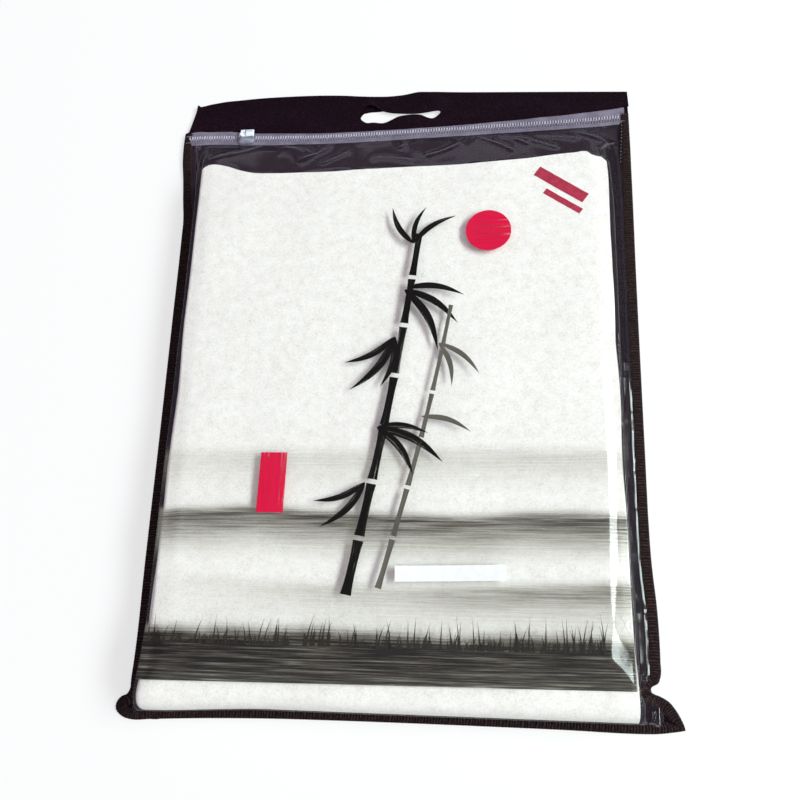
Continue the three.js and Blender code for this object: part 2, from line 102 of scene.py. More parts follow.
def gridQuads(rows, cols, first=0, flip=False):
    j, i = np.meshgrid(np.arange(rows - 1), np.arange(cols - 1), indexing="ij")
    a = (first + j * cols + i).ravel()
    quads = np.stack([a, a + 1, a + cols + 1, a + cols], axis=1)
    return quads[:, ::-1] if flip else quads


def shell(upper, lower):  # a closed sheet between two grids of points
    rows, cols = upper.shape[:2]
    count = rows * cols
    index = np.arange(count).reshape(rows, cols)
    rim = np.concatenate([index[0, :-1], index[:-1, -1], index[-1, :0:-1], index[:0:-1, 0]])
    after = np.roll(rim, -1)
    walls = np.stack([rim, count + rim, count + after, after], axis=1)
    points = np.concatenate([upper.reshape(-1, 3), lower.reshape(-1, 3)])
    return points, np.concatenate([gridQuads(rows, cols), gridQuads(rows, cols, count, True), walls])


def gridNormals(points):
    along = np.gradient(points, axis=1)
    up = np.gradient(points, axis=0)
    normals = np.cross(along, up)
    return normals / np.linalg.norm(normals, axis=2, keepdims=True)


def thicken(points, thickness):
    offset = gridNormals(points) * thickness / 2
    return shell(points + offset, points - offset)


def placePiece(name, mesh, material, slotName, body="bag", crease=50):
    mesh.materials.append(material)
    mesh.shade_smooth()
    mesh.set_sharp_from_angle(angle=math.radians(crease))
    piece = bpy.data.objects.new(name, mesh)
    bpy.context.collection.objects.link(piece)
    if body:
        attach(piece, body)
    return piece


def addPiece(name, points, faces, *finish, **options):
    mesh = bpy.data.meshes.new(name)
    mesh.from_pydata((np.asarray(points) * mm).tolist(), [], [list(map(int, f)) for f in faces])
    return placePiece(name, mesh, *finish, **options)


def endToEnd(*runs):  # evenly spaced runs, each from, to and count, that share their ends
    return np.concatenate([np.linspace(*run)[:-1] for run in runs[:-1]] + [np.linspace(*runs[-1])])


def joined(parts):  # several (points, faces) as one
    points, faces, first = [], [], 0
    for partPoints, partFaces in parts:
        points.append(np.asarray(partPoints, float))
        faces.extend([first + int(k) for k in f] for f in partFaces)
        first += len(partPoints)
    return np.concatenate(points), faces


def addNode(tree, kind, sockets=None, **settings):  # sockets take a value, a socket or a node
    node = tree.nodes.new("ShaderNode" + kind)
    for key, value in settings.items():
        if key == "stops":
            ramp = node.color_ramp.elements
            while len(ramp) < len(value):
                ramp.new(1.0)
            for stop, (place, colour) in zip(ramp, value):
                stop.position = place
                stop.color = linearOf(colour)
        else:
            setattr(node, key, value)
    for key, value in (sockets or {}).items():
        if isinstance(value, bpy.types.Node):
            value = value.outputs[0]
        if isinstance(value, bpy.types.NodeSocket):
            tree.links.new(value, node.inputs[key])
        else:
            node.inputs[key].default_value = value
    return node


def newMaterial(name):
    material = bpy.data.materials.new(name)
    material.use_nodes = True
    material.node_tree.nodes.clear()
    return material, material.node_tree


def perMetre(size):  # texture scale for a pattern that repeats about every size mm
    return 1 / (size * mm)


# Camera: fitted to the photograph through the pile's corners, the slot and the seams
camera = {
    "place": (88.8, -268.7, 680.1),
    "yaw": -19.3065,  # degrees
    "pitch": 69.7793,
    "roll": -18.5935,
    "lens": 35.4,
    "sensor": 36,
}


def addCamera():
    yaw, pitch, roll = (math.radians(camera[k]) for k in ("yaw", "pitch", "roll"))
    forward = Vector((math.sin(yaw) * math.cos(pitch), math.cos(yaw) * math.cos(pitch), -math.sin(pitch)))
    level = Vector((math.cos(yaw), -math.sin(yaw), 0))
    upright = level.cross(forward)
    right = level * math.cos(roll) + upright * math.sin(roll)
    top = upright * math.cos(roll) - level * math.sin(roll)
    lens = bpy.data.cameras.new("photoCamera")
    lens.lens = camera["lens"]
    lens.sensor_width = camera["sensor"]
    lens.clip_start = 0.01
    eye = bpy.data.objects.new("photoCamera", lens)
    eye.matrix_world = Matrix((right, top, -forward)).transposed().to_4x4()
    eye.matrix_world.translation = Vector(camera["place"]) * mm
    bpy.context.collection.objects.link(eye)
    bpy.context.scene.camera = eye


# Studio: a white floor, a big soft window to the right and a room that is dimmer behind and to the left
studio = {
    "floorSize": 8000,
    "floorDrop": 0.3,
    "floorGlow": 0.63,  # share of white that the floor shows by itself, the rest is lit and takes the shadow
    "floorColour": "#9c9c9c",
    "backdropColour": "#fdfdfd",  # seen by the camera alone
    "brightSide": (0.6, -0.8, 0.0),  # the room is lighter in front and to the right
    "roomFacing": (-0.7, 0.8),
    "roomColours": [(0, "#7c6a7a"), (1, "#ececee")],
    "lamps": [  # name, place, aim, width, height, watts, colour
        ("window", (4864, -34, 3805), (0, 0, 0), 1562, 4864, 440, "#f1fffb"),
        ("backStrip", (0, 3200, 1000), (0, 225, 20), 900, 2600, 5.5, "#f2f0ff"),  # for the mouth's creases
    ],
}


def addStudio():
    half = studio["floorSize"] / 2
    drop = -studio["floorDrop"]
    corners = [(-half, -half, drop), (half, -half, drop), (half, half, drop), (-half, half, drop)]
    material, tree = newMaterial("Matt white floor")
    seen = addNode(tree, "LightPath").outputs["Is Camera Ray"]
    glow = addNode(tree, "Math", {0: seen, 1: studio["floorGlow"]}, operation="MULTIPLY")
    lit = addNode(tree, "BsdfDiffuse", {"Color": linearOf(studio["floorColour"])})
    shine = addNode(tree, "Emission", {"Strength": glow})
    both = addNode(tree, "AddShader", {0: lit, 1: shine})
    addNode(tree, "OutputMaterial", {"Surface": both})
    mesh = bpy.data.meshes.new("floor")
    mesh.from_pydata([tuple(c * mm for c in corner) for corner in corners], [], [(0, 1, 2, 3)])
    mesh.materials.append(material)
    floor = bpy.data.objects.new("floor", mesh)
    bpy.context.collection.objects.link(floor)

    world = bpy.data.worlds.new("studioWorld")
    world.use_nodes = True
    tree = world.node_tree
    heading = addNode(tree, "TexCoord").outputs["Generated"]
    facing = addNode(tree, "VectorMath", {0: heading, 1: studio["brightSide"]}, operation="DOT_PRODUCT")
    dim, bright = studio["roomFacing"]
    share = addNode(tree, "MapRange", {0: facing.outputs["Value"], 1: dim, 2: bright})
    room = addNode(tree, "ValToRGB", {0: share}, stops=studio["roomColours"])
    lit = tree.nodes["Background"]
    tree.links.new(room.outputs[0], lit.inputs["Color"])
    backdrop = addNode(tree, "Background", {"Color": linearOf(studio["backdropColour"])})
    seen = addNode(tree, "LightPath").outputs["Is Camera Ray"]
    both = addNode(tree, "MixShader", {0: seen, 1: lit, 2: backdrop})
    tree.links.new(both.outputs[0], tree.nodes["World Output"].inputs["Surface"])
    bpy.context.scene.world = world

    for name, place, aim, width, height, watts, colour in studio["lamps"]:
        lamp = bpy.data.lights.new(name, "AREA")
        lamp.shape = "RECTANGLE"
        lamp.size = width * mm
        lamp.size_y = height * mm
        lamp.energy = watts
        lamp.color = linearOf(colour)[:3]
        holder = bpy.data.objects.new(name, lamp)
        away = Vector(place) - Vector(aim)
        side = Vector((0, 0, 1)).cross(away).normalized()  # the lamp's height runs level, along the bag
        away.normalize()
        turn = Matrix((away.cross(side), side, away)).transposed()
        holder.matrix_world = Matrix.Translation(Vector(place) * mm) @ turn.to_4x4()
        bpy.context.collection.objects.link(holder)


addCamera()
addStudio()
bpy.context.scene.view_settings.view_transform = "Standard"
print("camera, floor and lamps placed")

# Bag outline: where the sewn edges lie, each as a curve through a few points, from the bottom up
pileLow, pileHigh = nodeBox("felt_mat")
zipTop = nodeBox("zip_upper_tape")[1]
zipLow = nodeBox("zip_lower_tape")[0]
zipLine = (zipTop[1] + zipLow[1]) / 2
stackHalf = (pileHigh[2] - pileLow[2]) / 2
foldY = pileLow[1] + stackHalf
foldZ = pileLow[2] + stackHalf
outline = {
    "left": [(-313.3, -211), (-311.8, -218), (-309.6, -222), (-306, -225.5), (-302.7, -226.3),
             (-298.5, -225), (-295.5, -222.3), (-293.2, -217.6), (-290, -215.9), (-282, -215.9),
             (-266, -215.6), (-182, -217.6), (-51, -220.4), (52, -223), (142, -225.2), (166, -226.1),
             (190, -229.3), (215, -232.2), (240, -235.4), (262, -236.5), (272, -236.3)],
    "right": [(-305, 237), (-301.7, 236.3), (-297.4, 234.6), (-291, 231.2), (-284.7, 226.2), (-280.8, 219.6),
              (-278, 213.4), (-275.5, 213.2), (-271, 219.2), (-266, 221.2), (-254, 221.9), (-223, 222.4),
              (-207, 222), (-191, 221.1), (-175, 220.5), (-142, 220.5), (-89, 221.6), (-35, 222.7),
              (84, 225.3), (205, 228.4), (277, 229.6)],
    "bottom": [(-214, -313.2), (-208, -313.5), (-195, -312.5), (-182, -311.8), (-156, -310.5), (-130, -309.5),
               (-92, -308.5), (-43, -308), (19, -307.8), (91, -307.9), (149, -308.2), (195, -308.9),
               (206, -308.8), (217, -308.3), (229, -306.5), (238, -304)],
    # rounding of the pile's sides
    "tuckLeft": [(-300, 4.2), (-275, 6.4), (-100, 6.6), (0, 5.0), (130, 3.0), (180, 1.0), (200, 0.4)],
    "tuckRight": [(-300, 1.6), (-270, 3.4), (-200, 4.2), (-100, 3.8), (0, 2.8), (100, 1.0), (180, 1.0),
                  (200, 2.4)],
    "feltEnd": [(-200, 199), (-195, 203), (-188, 204.4), (-174, 202), (-158, 195.8), (-142, 191.8),
                (-127, 191), (-96, 190.8), (-66, 190.1), (-36, 191.6), (-7, 192.2), (37, 192.5), (66, 193.2),
                (95, 194.4), (123, 196.1), (152, 199.3), (170, 200.4), (185, 199.6), (187.5, 197),
                (196, 195), (200, 190.5)],
    "zipBow": [(-231, 3.2), (-205, 3), (-185, 2), (-166, 0.8), (-109, -1.6), (-66, -2.2), (-24, -1.5),
               (18, -0.6), (60, 0.2), (100, 1.2), (141, 2.2), (171, 3.0), (201, 4.2), (215, 5.2), (231, 6.8)],
    "headerTop": [(-227, 309.6), (-224.6, 307.8), (-221.5, 306), (-217.7, 307.4), (-213.4, 309.5),
                  (-205.7, 311), (-196.8, 312.4), (-180, 313.5), (-157, 314.8), (-124, 315.2), (-80, 314),
                  (-64, 312.8), (-47, 310.8), (-31, 309.4), (-15, 308.8), (1, 310), (15, 312.6), (27, 312),
                  (50, 310.3), (121, 305.9), (230, 299.4)],
    "headerLeft": [(272, -232), (309, -225.3)],  # its cut left end
    "footDrop": {"by": 4.0, "from": -90, "run": 110},  # the fold at the foot lies lower towards the left
    "mouthRise": (200, 40),  # where the sides start to rise to the zip, and over what run
    # upper zip tape's edge, from the zip's middle line
    "tapeReach": [(-234, 3.5), (-232.5, 6.6), (-229, 8.4), (-205, 9.2), (-180, 9.6), (-160, 8.2),
                  (-120, 7.2), (100, 7.2), (150, 9.2), (200, 11.6), (231, 12.6)],
}
leftEdge = curveThrough(outline["left"])
rightEdge = curveThrough(outline["right"])
bottomEdge = curveThrough(outline["bottom"])
feltEnd = curveThrough(outline["feltEnd"])
zipBow = curveThrough(outline["zipBow"])
headerTop = curveThrough(outline["headerTop"])
tuckLeft = curveThrough(outline["tuckLeft"])
tuckRight = curveThrough(outline["tuckRight"])
tapeReach = curveThrough(outline["tapeReach"])


def bendWithHeader(piece):  # bakes the piece's place into its mesh
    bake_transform(piece)


def footShift(x):
    drop = outline["footDrop"]
    return -drop["by"] * ease((drop["from"] - x) / drop["run"])


def mouthShare(y):  # 0 beside the pile, 1 beside the zip
    start, run = outline["mouthRise"]
    return ease((y - start) / run)


def pileInset(x, y):  # how far a point lies in from the nearer side of the pile's top
    return np.minimum(x + pileHigh[0] - tuckLeft(y), pileHigh[0] - tuckRight(y) - x)


# Felt mat: needled wool felt, folded in five and then in half
feltMat = {
    "thickness": 3.1,
    "panels": 5,
    "pitch": 3.62,  # layer to layer
    "acrossPoints": 92,  # on each panel
    "foldPoints": 9,
    "runRows": 90,
    "foldRows": 26,
    "edgeDrift": 0.9,  # layers don't lie exactly on each other
    "tuckStep": 0.2,  # each layer down is tucked in less, by this share
    "edgeDrop": 1.3,
    "edgeRun": 15,
    "endShift": 1.2,  # layers end unevenly
    "endStep": 0.6,  # and each one a little short of the one above
    "lowerEnd": 2,  # the lower half ends this far short of the frame's pile
    "swell": 0.35,
    "swellSize": 90,
    "fuzz": 0.12,
    "fuzzSize": 9,
    "colours": [(0.35, "#e4dfd6"), (0.5, "#f4f1ec"), (0.65, "#fbfaf7")],
    "mottleSize": 9,
    "fibreSize": 1.6,  # drawn coarser than the 0.05 mm fibres, so that the nap shows
    "napShare": 2.2,  # tone of the nap against that of the mottling
    "napHeight": 0.6,
}


def needledFelt():  # matt off-white with cloudy mottling, a soft nap and no gloss
    look = feltMat
    material, tree = newMaterial("Needled wool felt")
    where = addNode(tree, "TexCoord").outputs["Object"]
    cloud = addNode(tree, "TexNoise", {"Vector": where, "Scale": perMetre(look["mottleSize"]), "Detail": 4})
    nap = addNode(tree, "TexNoise", {
        "Vector": where, "Scale": perMetre(look["fibreSize"]), "Detail": 3, "Distortion": 1.2})
    both = addNode(tree, "Math", {0: nap, 1: look["napShare"], 2: cloud}, operation="MULTIPLY_ADD")
    tone = addNode(tree, "Math", {0: both, 1: 1 / (1 + look["napShare"])}, operation="MULTIPLY")
    ramp = addNode(tree, "ValToRGB", {0: tone}, stops=look["colours"])
    bump = addNode(tree, "Bump", {"Height": nap, "Strength": 0.5, "Distance": look["napHeight"] * mm})
    surface = addNode(tree, "BsdfPrincipled", {
        "Base Color": ramp, "Roughness": 0.95, "Specular IOR Level": 0.15, "Sheen Weight": 0.25,
        "Sheen Roughness": 0.6, "Normal": bump})
    addNode(tree, "OutputMaterial", {"Surface": surface})
    return material


def feltWaves(x, y):
    return feltMat["swell"] * ripples(x, y, feltMat["swellSize"], seed=8)


def feltLift(x, y):
    drop = feltMat["edgeDrop"] * (1 - ease(pileInset(x, y) / feltMat["edgeRun"]))
    return feltWaves(x, y) - drop + feltMat["fuzz"] * ripples(x, y, feltMat["fuzzSize"], seed=9)


def feltPiece():
    look = feltMat
    thick = look["thickness"]
    pitch = look["pitch"]
    halfWide = pileHigh[0]
    xs, ws, nx, nw, layer = [], [], [], [], []  # section: place across, height in the stack and its normal
    for k in range(look["panels"]):
        side = -1 if k % 2 == 0 else 1  # the top layer has its fold at the left, its cut edge at the right
        height = stackHalf - thick / 2 - k * pitch
        reach = halfWide - pitch / 2 - thick / 2
        start = halfWide if k == 0 else reach
        run = np.linspace(-side * start, side * reach, look["acrossPoints"])
        xs.extend(run)
        ws.extend([height] * len(run))
        nx.extend([0] * len(run))
        nw.extend([side] * len(run))
        layer.extend([k] * len(run))
        if k < look["panels"] - 1:
            turn = np.linspace(0, math.pi, look["foldPoints"] + 2)[1:-1]
            xs.extend(side * (reach + pitch / 2 * np.sin(turn)))
            ws.extend(height - pitch / 2 * (1 - np.cos(turn)))
            nx.extend(np.sin(turn))
            nw.extend(side * np.cos(turn))
            layer.extend(k + turn / math.pi)
    xs, ws, nx, nw, layer = (np.array(v, float) for v in (xs, ws, nx, nw, layer))

    straight = np.linspace(1, 0, look["runRows"])
    turns = np.linspace(0, math.pi, look["foldRows"])
    stations = [(s, 0.0) for s in straight[:-1]] + [(0.0, a) for a in turns]
    stations += [(s, math.pi) for s in straight[::-1][1:]]
    upper, lower = [], []
    endShift = ripples(layer * 37, xs * 0, 90, seed=3) * look["endShift"]  # differs from layer to layer
    for share, angle in stations:
        lean = math.cos(angle)
        end = feltEnd(xs) - look["endStep"] * layer if lean > 0 else pileHigh[1] - look["lowerEnd"]
        end = end + endShift
        y = mix(foldY + footShift(xs), end, share) - ws * math.sin(angle) * (1 if share == 0 else 0)
        z = foldZ + ws * lean
        drift = look["edgeDrift"] * ripples(y, layer * 60, 130, seed=5)
        tuck = np.where(xs < 0, tuckLeft(y), tuckRight(y)) * (1 - look["tuckStep"] * layer)
        x = xs * (1 - tuck / halfWide) + drift
        centre = np.stack([x, y, z + feltLift(x, y) * (0.5 + 0.5 * lean)], axis=1)
        normal = np.stack([nx, -nw * math.sin(angle), nw * lean], axis=1) * thick / 2
        upper.append(centre + normal)
        lower.append(centre - normal)
    upper, lower = np.array(upper), np.array(lower)
    points, faces = shell(lower, upper)
    piece = addPiece("felt_mat_folded", points, faces, needledFelt(), "felt")
    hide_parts("felt_mat")
    print("felt folded:", len(points), "points")


# Bag back and header: black spunbond cloth, folded over at the top, with the hand slot through both plies
bagCloth = {
    "thickness": 0.6,
    "edgeInset": 1.0,  # sewn edge to the cloth's cut edge, inside the edging
    "rimLift": 0.8,
    "rimFlat": 4,
    "rimRun": 16,
    "backZ": 0.32,
    "footLap": 0.3,  # front ply's lower edge over the zip tape
    "footZ": 4.6,
    "topZ": 2.2,
    "foldRadius": 0.95,
    "slotEnds": (-47, 39),
    "slotColumns": 58,
    "sideColumns": 50,
    "backRuns": [(0, 0.09, 26), (0.09, 0.9, 44), (0.9, 1, 16)],  # rows, closer near both ends
    "plyRows": (9, 9, 16, 10),  # above the slot at the back, round the fold, down to the slot and below it
    "plyGap": 0.9,
    "ripple": {"height": 0.5, "size": 70, "run": 12},  # front ply, below the fold
    "frontLower": [(-47, 286.5), (-45.5, 281.5), (-41, 276), (-30, 274.2), (-19, 272.9), (-11, 277),
                   (-6, 279.8), (2, 281.3), (10, 282.1), (18.5, 281.2), (26, 277.6), (31, 276.5), (36, 280),
                   (39, 284.6)],
    "frontUpper": [(-47, 286.5), (-44.5, 292.5), (-38, 296.8), (-32, 295.4), (-26, 291), (-16.5, 287),
                   (-4, 284.8), (11, 283.4), (23, 284.5), (32, 285.8), (37, 285.8), (39, 284.6)],
    "backLower": [(-47, 283), (-45, 278.5), (-40, 275), (-30, 273.6), (25, 273.4), (33, 275), (38, 279),
                  (39, 283)],
    "backUpper": [(-47, 283), (-45, 287.5), (-40, 290), (-30, 290.8), (25, 290.6), (33, 289.6), (38, 287),
                  (39, 283)],
    "swells": [  # place, spread and height of the soft bulges in the front ply
        (-37, 299, 10, 5, 2.4), (31, 298, 12, 8, 2.6), (6, 279.5, 16, 4, 1.3), (-224, 307, 7, 5, 2.5),
        (-150, 292, 60, 14, 0.8), (140, 290, 70, 12, 0.9)],
    "colours": [(0.5, "#0d0509"), (0.7, "#190a14"), (0.92, "#2a162b")],
    "bondPitch": 2.6,  # the real bond points are about 1 mm apart, drawn coarser so that they show
    "speckSize": 1.8,
}


def spunbondCloth():  # dull black with a purple-brown cast, pressed all over with small bond points
    look = bagCloth
    material, tree = newMaterial("Spunbond polypropylene cloth, black")
    where = addNode(tree, "TexCoord").outputs["Object"]
    bonds = addNode(tree, "TexVoronoi", {
        "Vector": where, "Scale": perMetre(look["bondPitch"]), "Randomness": 0.35}, feature="F1")
    speck = addNode(tree, "TexNoise", {
        "Vector": where, "Scale": perMetre(look["speckSize"]), "Detail": 3, "Roughness": 0.7})
    tone = addNode(tree, "Math", {0: bonds.outputs["Distance"], 1: 0.3, 2: speck}, operation="MULTIPLY_ADD")
    ramp = addNode(tree, "ValToRGB", {0: tone}, stops=look["colours"])
    bump = addNode(tree, "Bump", {"Height": tone, "Strength": 0.35, "Distance": 0.3 * mm})
    surface = addNode(tree, "BsdfPrincipled", {
        "Base Color": ramp, "Roughness": 0.8, "Specular IOR Level": 0.06, "Normal": bump})
    addNode(tree, "OutputMaterial", {"Surface": surface})
    return material


def clothPiece():
    look = bagCloth
    inset = look["edgeInset"]
    slotLow, slotHigh = look["slotEnds"]
    turn = np.linspace(0, math.pi, look["slotColumns"])
    slotXs = (slotLow + slotHigh) / 2 - (slotHigh - slotLow) / 2 * np.cos(turn)
    (footY, footX), (crestY, crestX) = outline["headerLeft"]
    slotY = sum(y for _, y in look["backLower"]) / len(look["backLower"])
    leftX, rightX = mix(footX, crestX, (slotY - footY) / (crestY - footY)), rightEdge(slotY)
    columns = look["sideColumns"]
    xs = np.concatenate([np.linspace(leftX, slotLow, columns)[:-1], slotXs,
                         np.linspace(slotHigh, rightX, columns)[1:]])
    share = (xs - leftX) / (rightX - leftX)
    lips = {}
    sides = (xs < slotLow + 1e-6) | (xs > slotHigh - 1e-6)
    for ply in ("front", "back"):
        lips[ply + "Lower"] = curveThrough(look[ply + "Lower"])(xs)
        lips[ply + "Upper"] = np.where(sides, lips[ply + "Lower"], curveThrough(look[ply + "Upper"])(xs))
    crest = headerTop(mix(crestX, rightEdge(crestY), share))
    foot = zipLine + zipBow(xs) + tapeReach(xs) - look["footLap"]
    radius = look["foldRadius"]

    def across(y):
        free = y > zipTop[1]  # the header's ends are cut edges, outside the edging
        slant = mix(footX, crestX, np.clip((y - footY) / (crestY - footY), 0, 1))
        left = np.where(free, slant, leftEdge(y) + inset)
        right = rightEdge(y) - np.where(free, 0, inset)
        return mix(left, right, share)

    def rimLift(x, y):
        near = np.minimum(np.minimum(x - leftEdge(y), rightEdge(y) - x), y - bottomEdge(x))
        flat = np.where(y > zipTop[1] - look["rimFlat"], 0, 1)
        return look["rimLift"] * (1 - ease((near - look["rimFlat"]) / look["rimRun"])) * flat

    def backRow(y):
        x = across(y)
        return np.stack([x, y, look["backZ"] + rimLift(x, y)], axis=1)

    def frontRow(y):
        x = across(y)
        down = np.clip((crest - y) / (crest - foot), 0, 1)
        z = mix(look["topZ"], look["footZ"], down)
        for cx, cy, sx, sy, height in look["swells"]:
            z = z + height * np.exp(-((x - cx) / sx) ** 2 - ((y - cy) / sy) ** 2)
        wave = look["ripple"]
        z = z + wave["height"] * ripples(x, y, wave["size"], seed=12) * ease((crest - y) / wave["run"])
        return np.stack([x, y, np.maximum(z, look["backZ"] + look["plyGap"])], axis=1)

    start = bottomEdge(xs) + inset
    upCount, foldCount, downCount, footCount = look["plyRows"]
    low = np.array([backRow(mix(start, lips["backLower"], c)) for c in endToEnd(*look["backRuns"])])
    upRows = [backRow(mix(lips["backUpper"], crest - radius, c)) for c in np.linspace(0, 1, upCount)]
    arc = []
    for a in np.linspace(0, math.pi, foldCount)[1:-1]:
        x = across(crest - radius)
        lowZ, highZ = upRows[-1][:, 2], frontRow(crest - radius)[:, 2]
        z = (lowZ + highZ) / 2 - (highZ - lowZ) / 2 * math.cos(a)
        arc.append(np.stack([x, crest - radius + radius * math.sin(a), z], axis=1))
    downRows = [frontRow(mix(crest - radius, lips["frontUpper"], c)) for c in np.linspace(0, 1, downCount)]
    high = np.array(upRows + arc + downRows)
    front = np.array([frontRow(mix(lips["frontLower"], foot, c)) for c in np.linspace(0, 1, footCount)])

    points, faces = joined([(g.reshape(-1, 3), gridQuads(*g.shape[:2])) for g in (low, high, front)])
    mesh = bpy.data.meshes.new("bag_cloth")
    mesh.from_pydata((points * mm).tolist(), [], faces)
    shape = bmesh.new()
    shape.from_mesh(mesh)
    bmesh.ops.remove_doubles(shape, verts=shape.verts, dist=0.02 * mm)
    bmesh.ops.recalc_face_normals(shape, faces=shape.faces)
    shape.to_mesh(mesh)
    shape.free()
    draft = bpy.data.objects.new("bag_cloth", mesh)
    bpy.context.collection.objects.link(draft)
    thick = draft.modifiers.new("thickness", "SOLIDIFY")
    thick.thickness = look["thickness"] * mm
    thick.offset = 0
    solid = bpy.data.meshes.new_from_object(draft.evaluated_get(bpy.context.evaluated_depsgraph_get()))
    bpy.data.objects.remove(draft)
    piece = placePiece("bag_back_and_header", solid, spunbondCloth(), "black_cloth", body=None, crease=60)
    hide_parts("back_panel", "handle_header")
    bendWithHeader(piece)
    print("cloth cut and folded:", len(solid.vertices), "points")


# Front film: clear soft PVC draped over the pile, with the picture printed on it
frontFilm = {
    "thickness": 0.4,
    "ease": 1.0,  # middle of the film over the pile's edges
    "crown": 4.4,  # slack that lifts the film off the pile
    "crownFlat": 4,  # strip along the pile's edges where the film lies on the felt
    "crownRun": 16,
    "endRun": 55,  # and along the bag, towards the mouth
    # the film falls evenly to the right side of the pile and mirrors the window there, in a strip and a leaf
    "slope": 0.385,
    "slopeCrown": 7.0,
    "slopeFrom": [(-285, 177), (-256, 177), (-245, 177.5), (-233, 179.4), (-216, 178.9), (-198, 179.3),
                  (-165, 180.5), (-133, 181.6), (-108, 182), (60, 183)],  # along the bag, across it
    "slopeTo": [(-285, 199), (-269, 198.6), (-263, 197.2), (-256, 195.5), (-248, 192.2), (-240, 186.4),
                (-232, 182.6), (-217, 183.4), (-199, 185.2), (-182, 187.1), (-165, 187.6), (-149, 188.5),
                (-133, 189.5), (60, 190)],
    "slopeFlat": (-50, 20, 0.15),  # where along the bag it levels out, and the slope left there
    "slopeBeyond": 0.2,
    "slopeEase": 50,
    "footSlope": 0.345,  # and it falls to the fold at the foot
    "footFrom": (-284, -276),  # at the middle and at the right
    "footTurn": (60, 110),  # place across the bag and run of the change between them
    "soft": 0.25,
    "seamInset": 8.5,  # sewn edge to where the film goes under the edging
    "cornerInset": 15,
    "cornerRun": 16,
    "rimZ": 1.9,
    "rimSlack": 0.3,
    "mouthZ": 3.4,
    "wallBow": (1.9, 1.4),  # hollow of the side walls, left and right
    "shoulder": 0.2,
    # narrow slope beside the right edging that catches the window, with where and over what run it fades
    "hem": {"wide": 0.16, "height": 0.95, "wave": 0.3, "waveSize": 16, "top": (20, 50), "foot": (-290, 20)},
    "bottomInset": 5.4,
    "endLap": 1.5,  # past the felt's end
    "mouthReach": 5.8,  # film's upper edge, from the zip's middle line
    "mouthKnee": (0.06, 0.27),  # drop past the felt's end: shares of the way to the zip and of the height
    "topColumns": 280,
    "slopeColumns": 64,
    "slopeStrip": 60,  # closer columns over the slope at the right
    "wallColumns": 34,
    "seamRows": 14,
    "bottomRows": 40,
    "topRows": 140,
    "cornerRows": 70,
    "cornerTop": 0.18,  # closer rows over the lower corner, to this share of the pile
    "kneeRows": 16,
    "mouthRows": 60,
    "bulges": [  # place, spread and height
        (212, -292, 7, 10, 1.6), (-205, 225, 8, 14, 3.0)],
    "creases": [  # from, to, width and height of the sharp folds
        ((-148, 251), (-196, 223), 4.4, 2.4), ((-72, 247), (-104, 222), 4.0, 1.8),
        ((-128, 246), (-92, 232), 9, 2.4), ((-52, 236), (-80, 214), 3.6, 1.6),
        ((6, 247), (-4, 236), 3.4, 1.2), ((62, 240), (26, 220), 4.6, 1.8),
        ((78, 247), (112, 222), 4.2, 1.8), ((96, 248), (128, 230), 4.0, 1.6),
        ((114, 243), (156, 222), 4.4, 1.9), ((134, 244), (176, 236), 4.0, 1.4),
        ((172, 247), (207, 226), 4.4, 2.2), ((-222, 256), (-212, 205), 3, 2.0),
        ((196, 214), (214, 236), 3, 1.8), ((-30, 224), (12, 214), 5, 1.2),
        ((209, -300), (219, -305), 1.6, 1.6), ((-210, -297), (-222, -303), 1.4, 1.2),
        ((-208, -301), (-222, -306), 1.4, 1.0), ((186, -223), (192, -235), 0.9, 0.6),
        ((192, -226), (187, -233), 0.8, 0.5)],
    "creaseHighlightWidth": 0.6,  # half width of the painted highlight line along each fold, drawn as a whitening of the film
    # painted highlight: along each fold the film's diffuse haze rises to this share, whatever the light
    "creaseHighlightStrength": 0.24,
    "crumple": {"height": 1.3, "size": 80, "fine": 0.15, "fineSize": 30},  # slack film of the mouth
    "topRipple": 0.28,
    "rippleSize": 75,
    "crownWaver": 0.06,
    "waverSize": 160,
    "waveSize": 26,  # slight waves that calendering leaves
    "waveHeight": 1.2,
    "ior": 1.5,
    "roughness": 0.06,
    "mouthRoughness": 0.15,  # over the slack film beyond the felt
    "mouthFade": 10,
    "haze": 0.02,
    "hazeColour": "#a79cb8",
}

# Printed wash: soft grey bands of ink that grow darker down to the foot of the picture
washPrint = {
    "endY": -279.3,  # foot of the picture at the middle of the bag
    "endSlant": 0.009,
    "sides": (-197.5, 197),
    "bands": [  # top edge, its swing and length, softness, fade, strength left and right, kept share, start
        (-84, 4, 330, 16, 50, 0.16, 0.26, 0.0, 2.7),
        (-140, 5, 260, 11, 52, 0.6, 0.66, 0.0, 8.1),
        (-196, 3, 210, 13, 44, 0.0, 0.6, 0.1, 14.4),
        (-234, 4, 90, 18, 44, 1.0, 0.8, 0.78, 21.9),
    ],
    "streakLong": 70,
    "streakWide": 1.5,
    "streakStart": (17.3, 5.1, 0),
    "streakTone": (2.0, -0.02),  # contrast and shift
    "colours": [(0.1, "#b9b8a8"), (0.35, "#8f8c7f"), (0.62, "#4d4942"), (0.9, "#191615")],
    "cover": 0.95,
    "coverFrom": 0.62,  # tone from which the ink covers fully
    "sideFade": 1.5,
}


def clearFilm():  # the inner face of the film, which adds no second reflection
    material, tree = newMaterial("Soft PVC film, inner face")
    addNode(tree, "OutputMaterial", {"Surface": addNode(tree, "BsdfTransparent")})
    return material


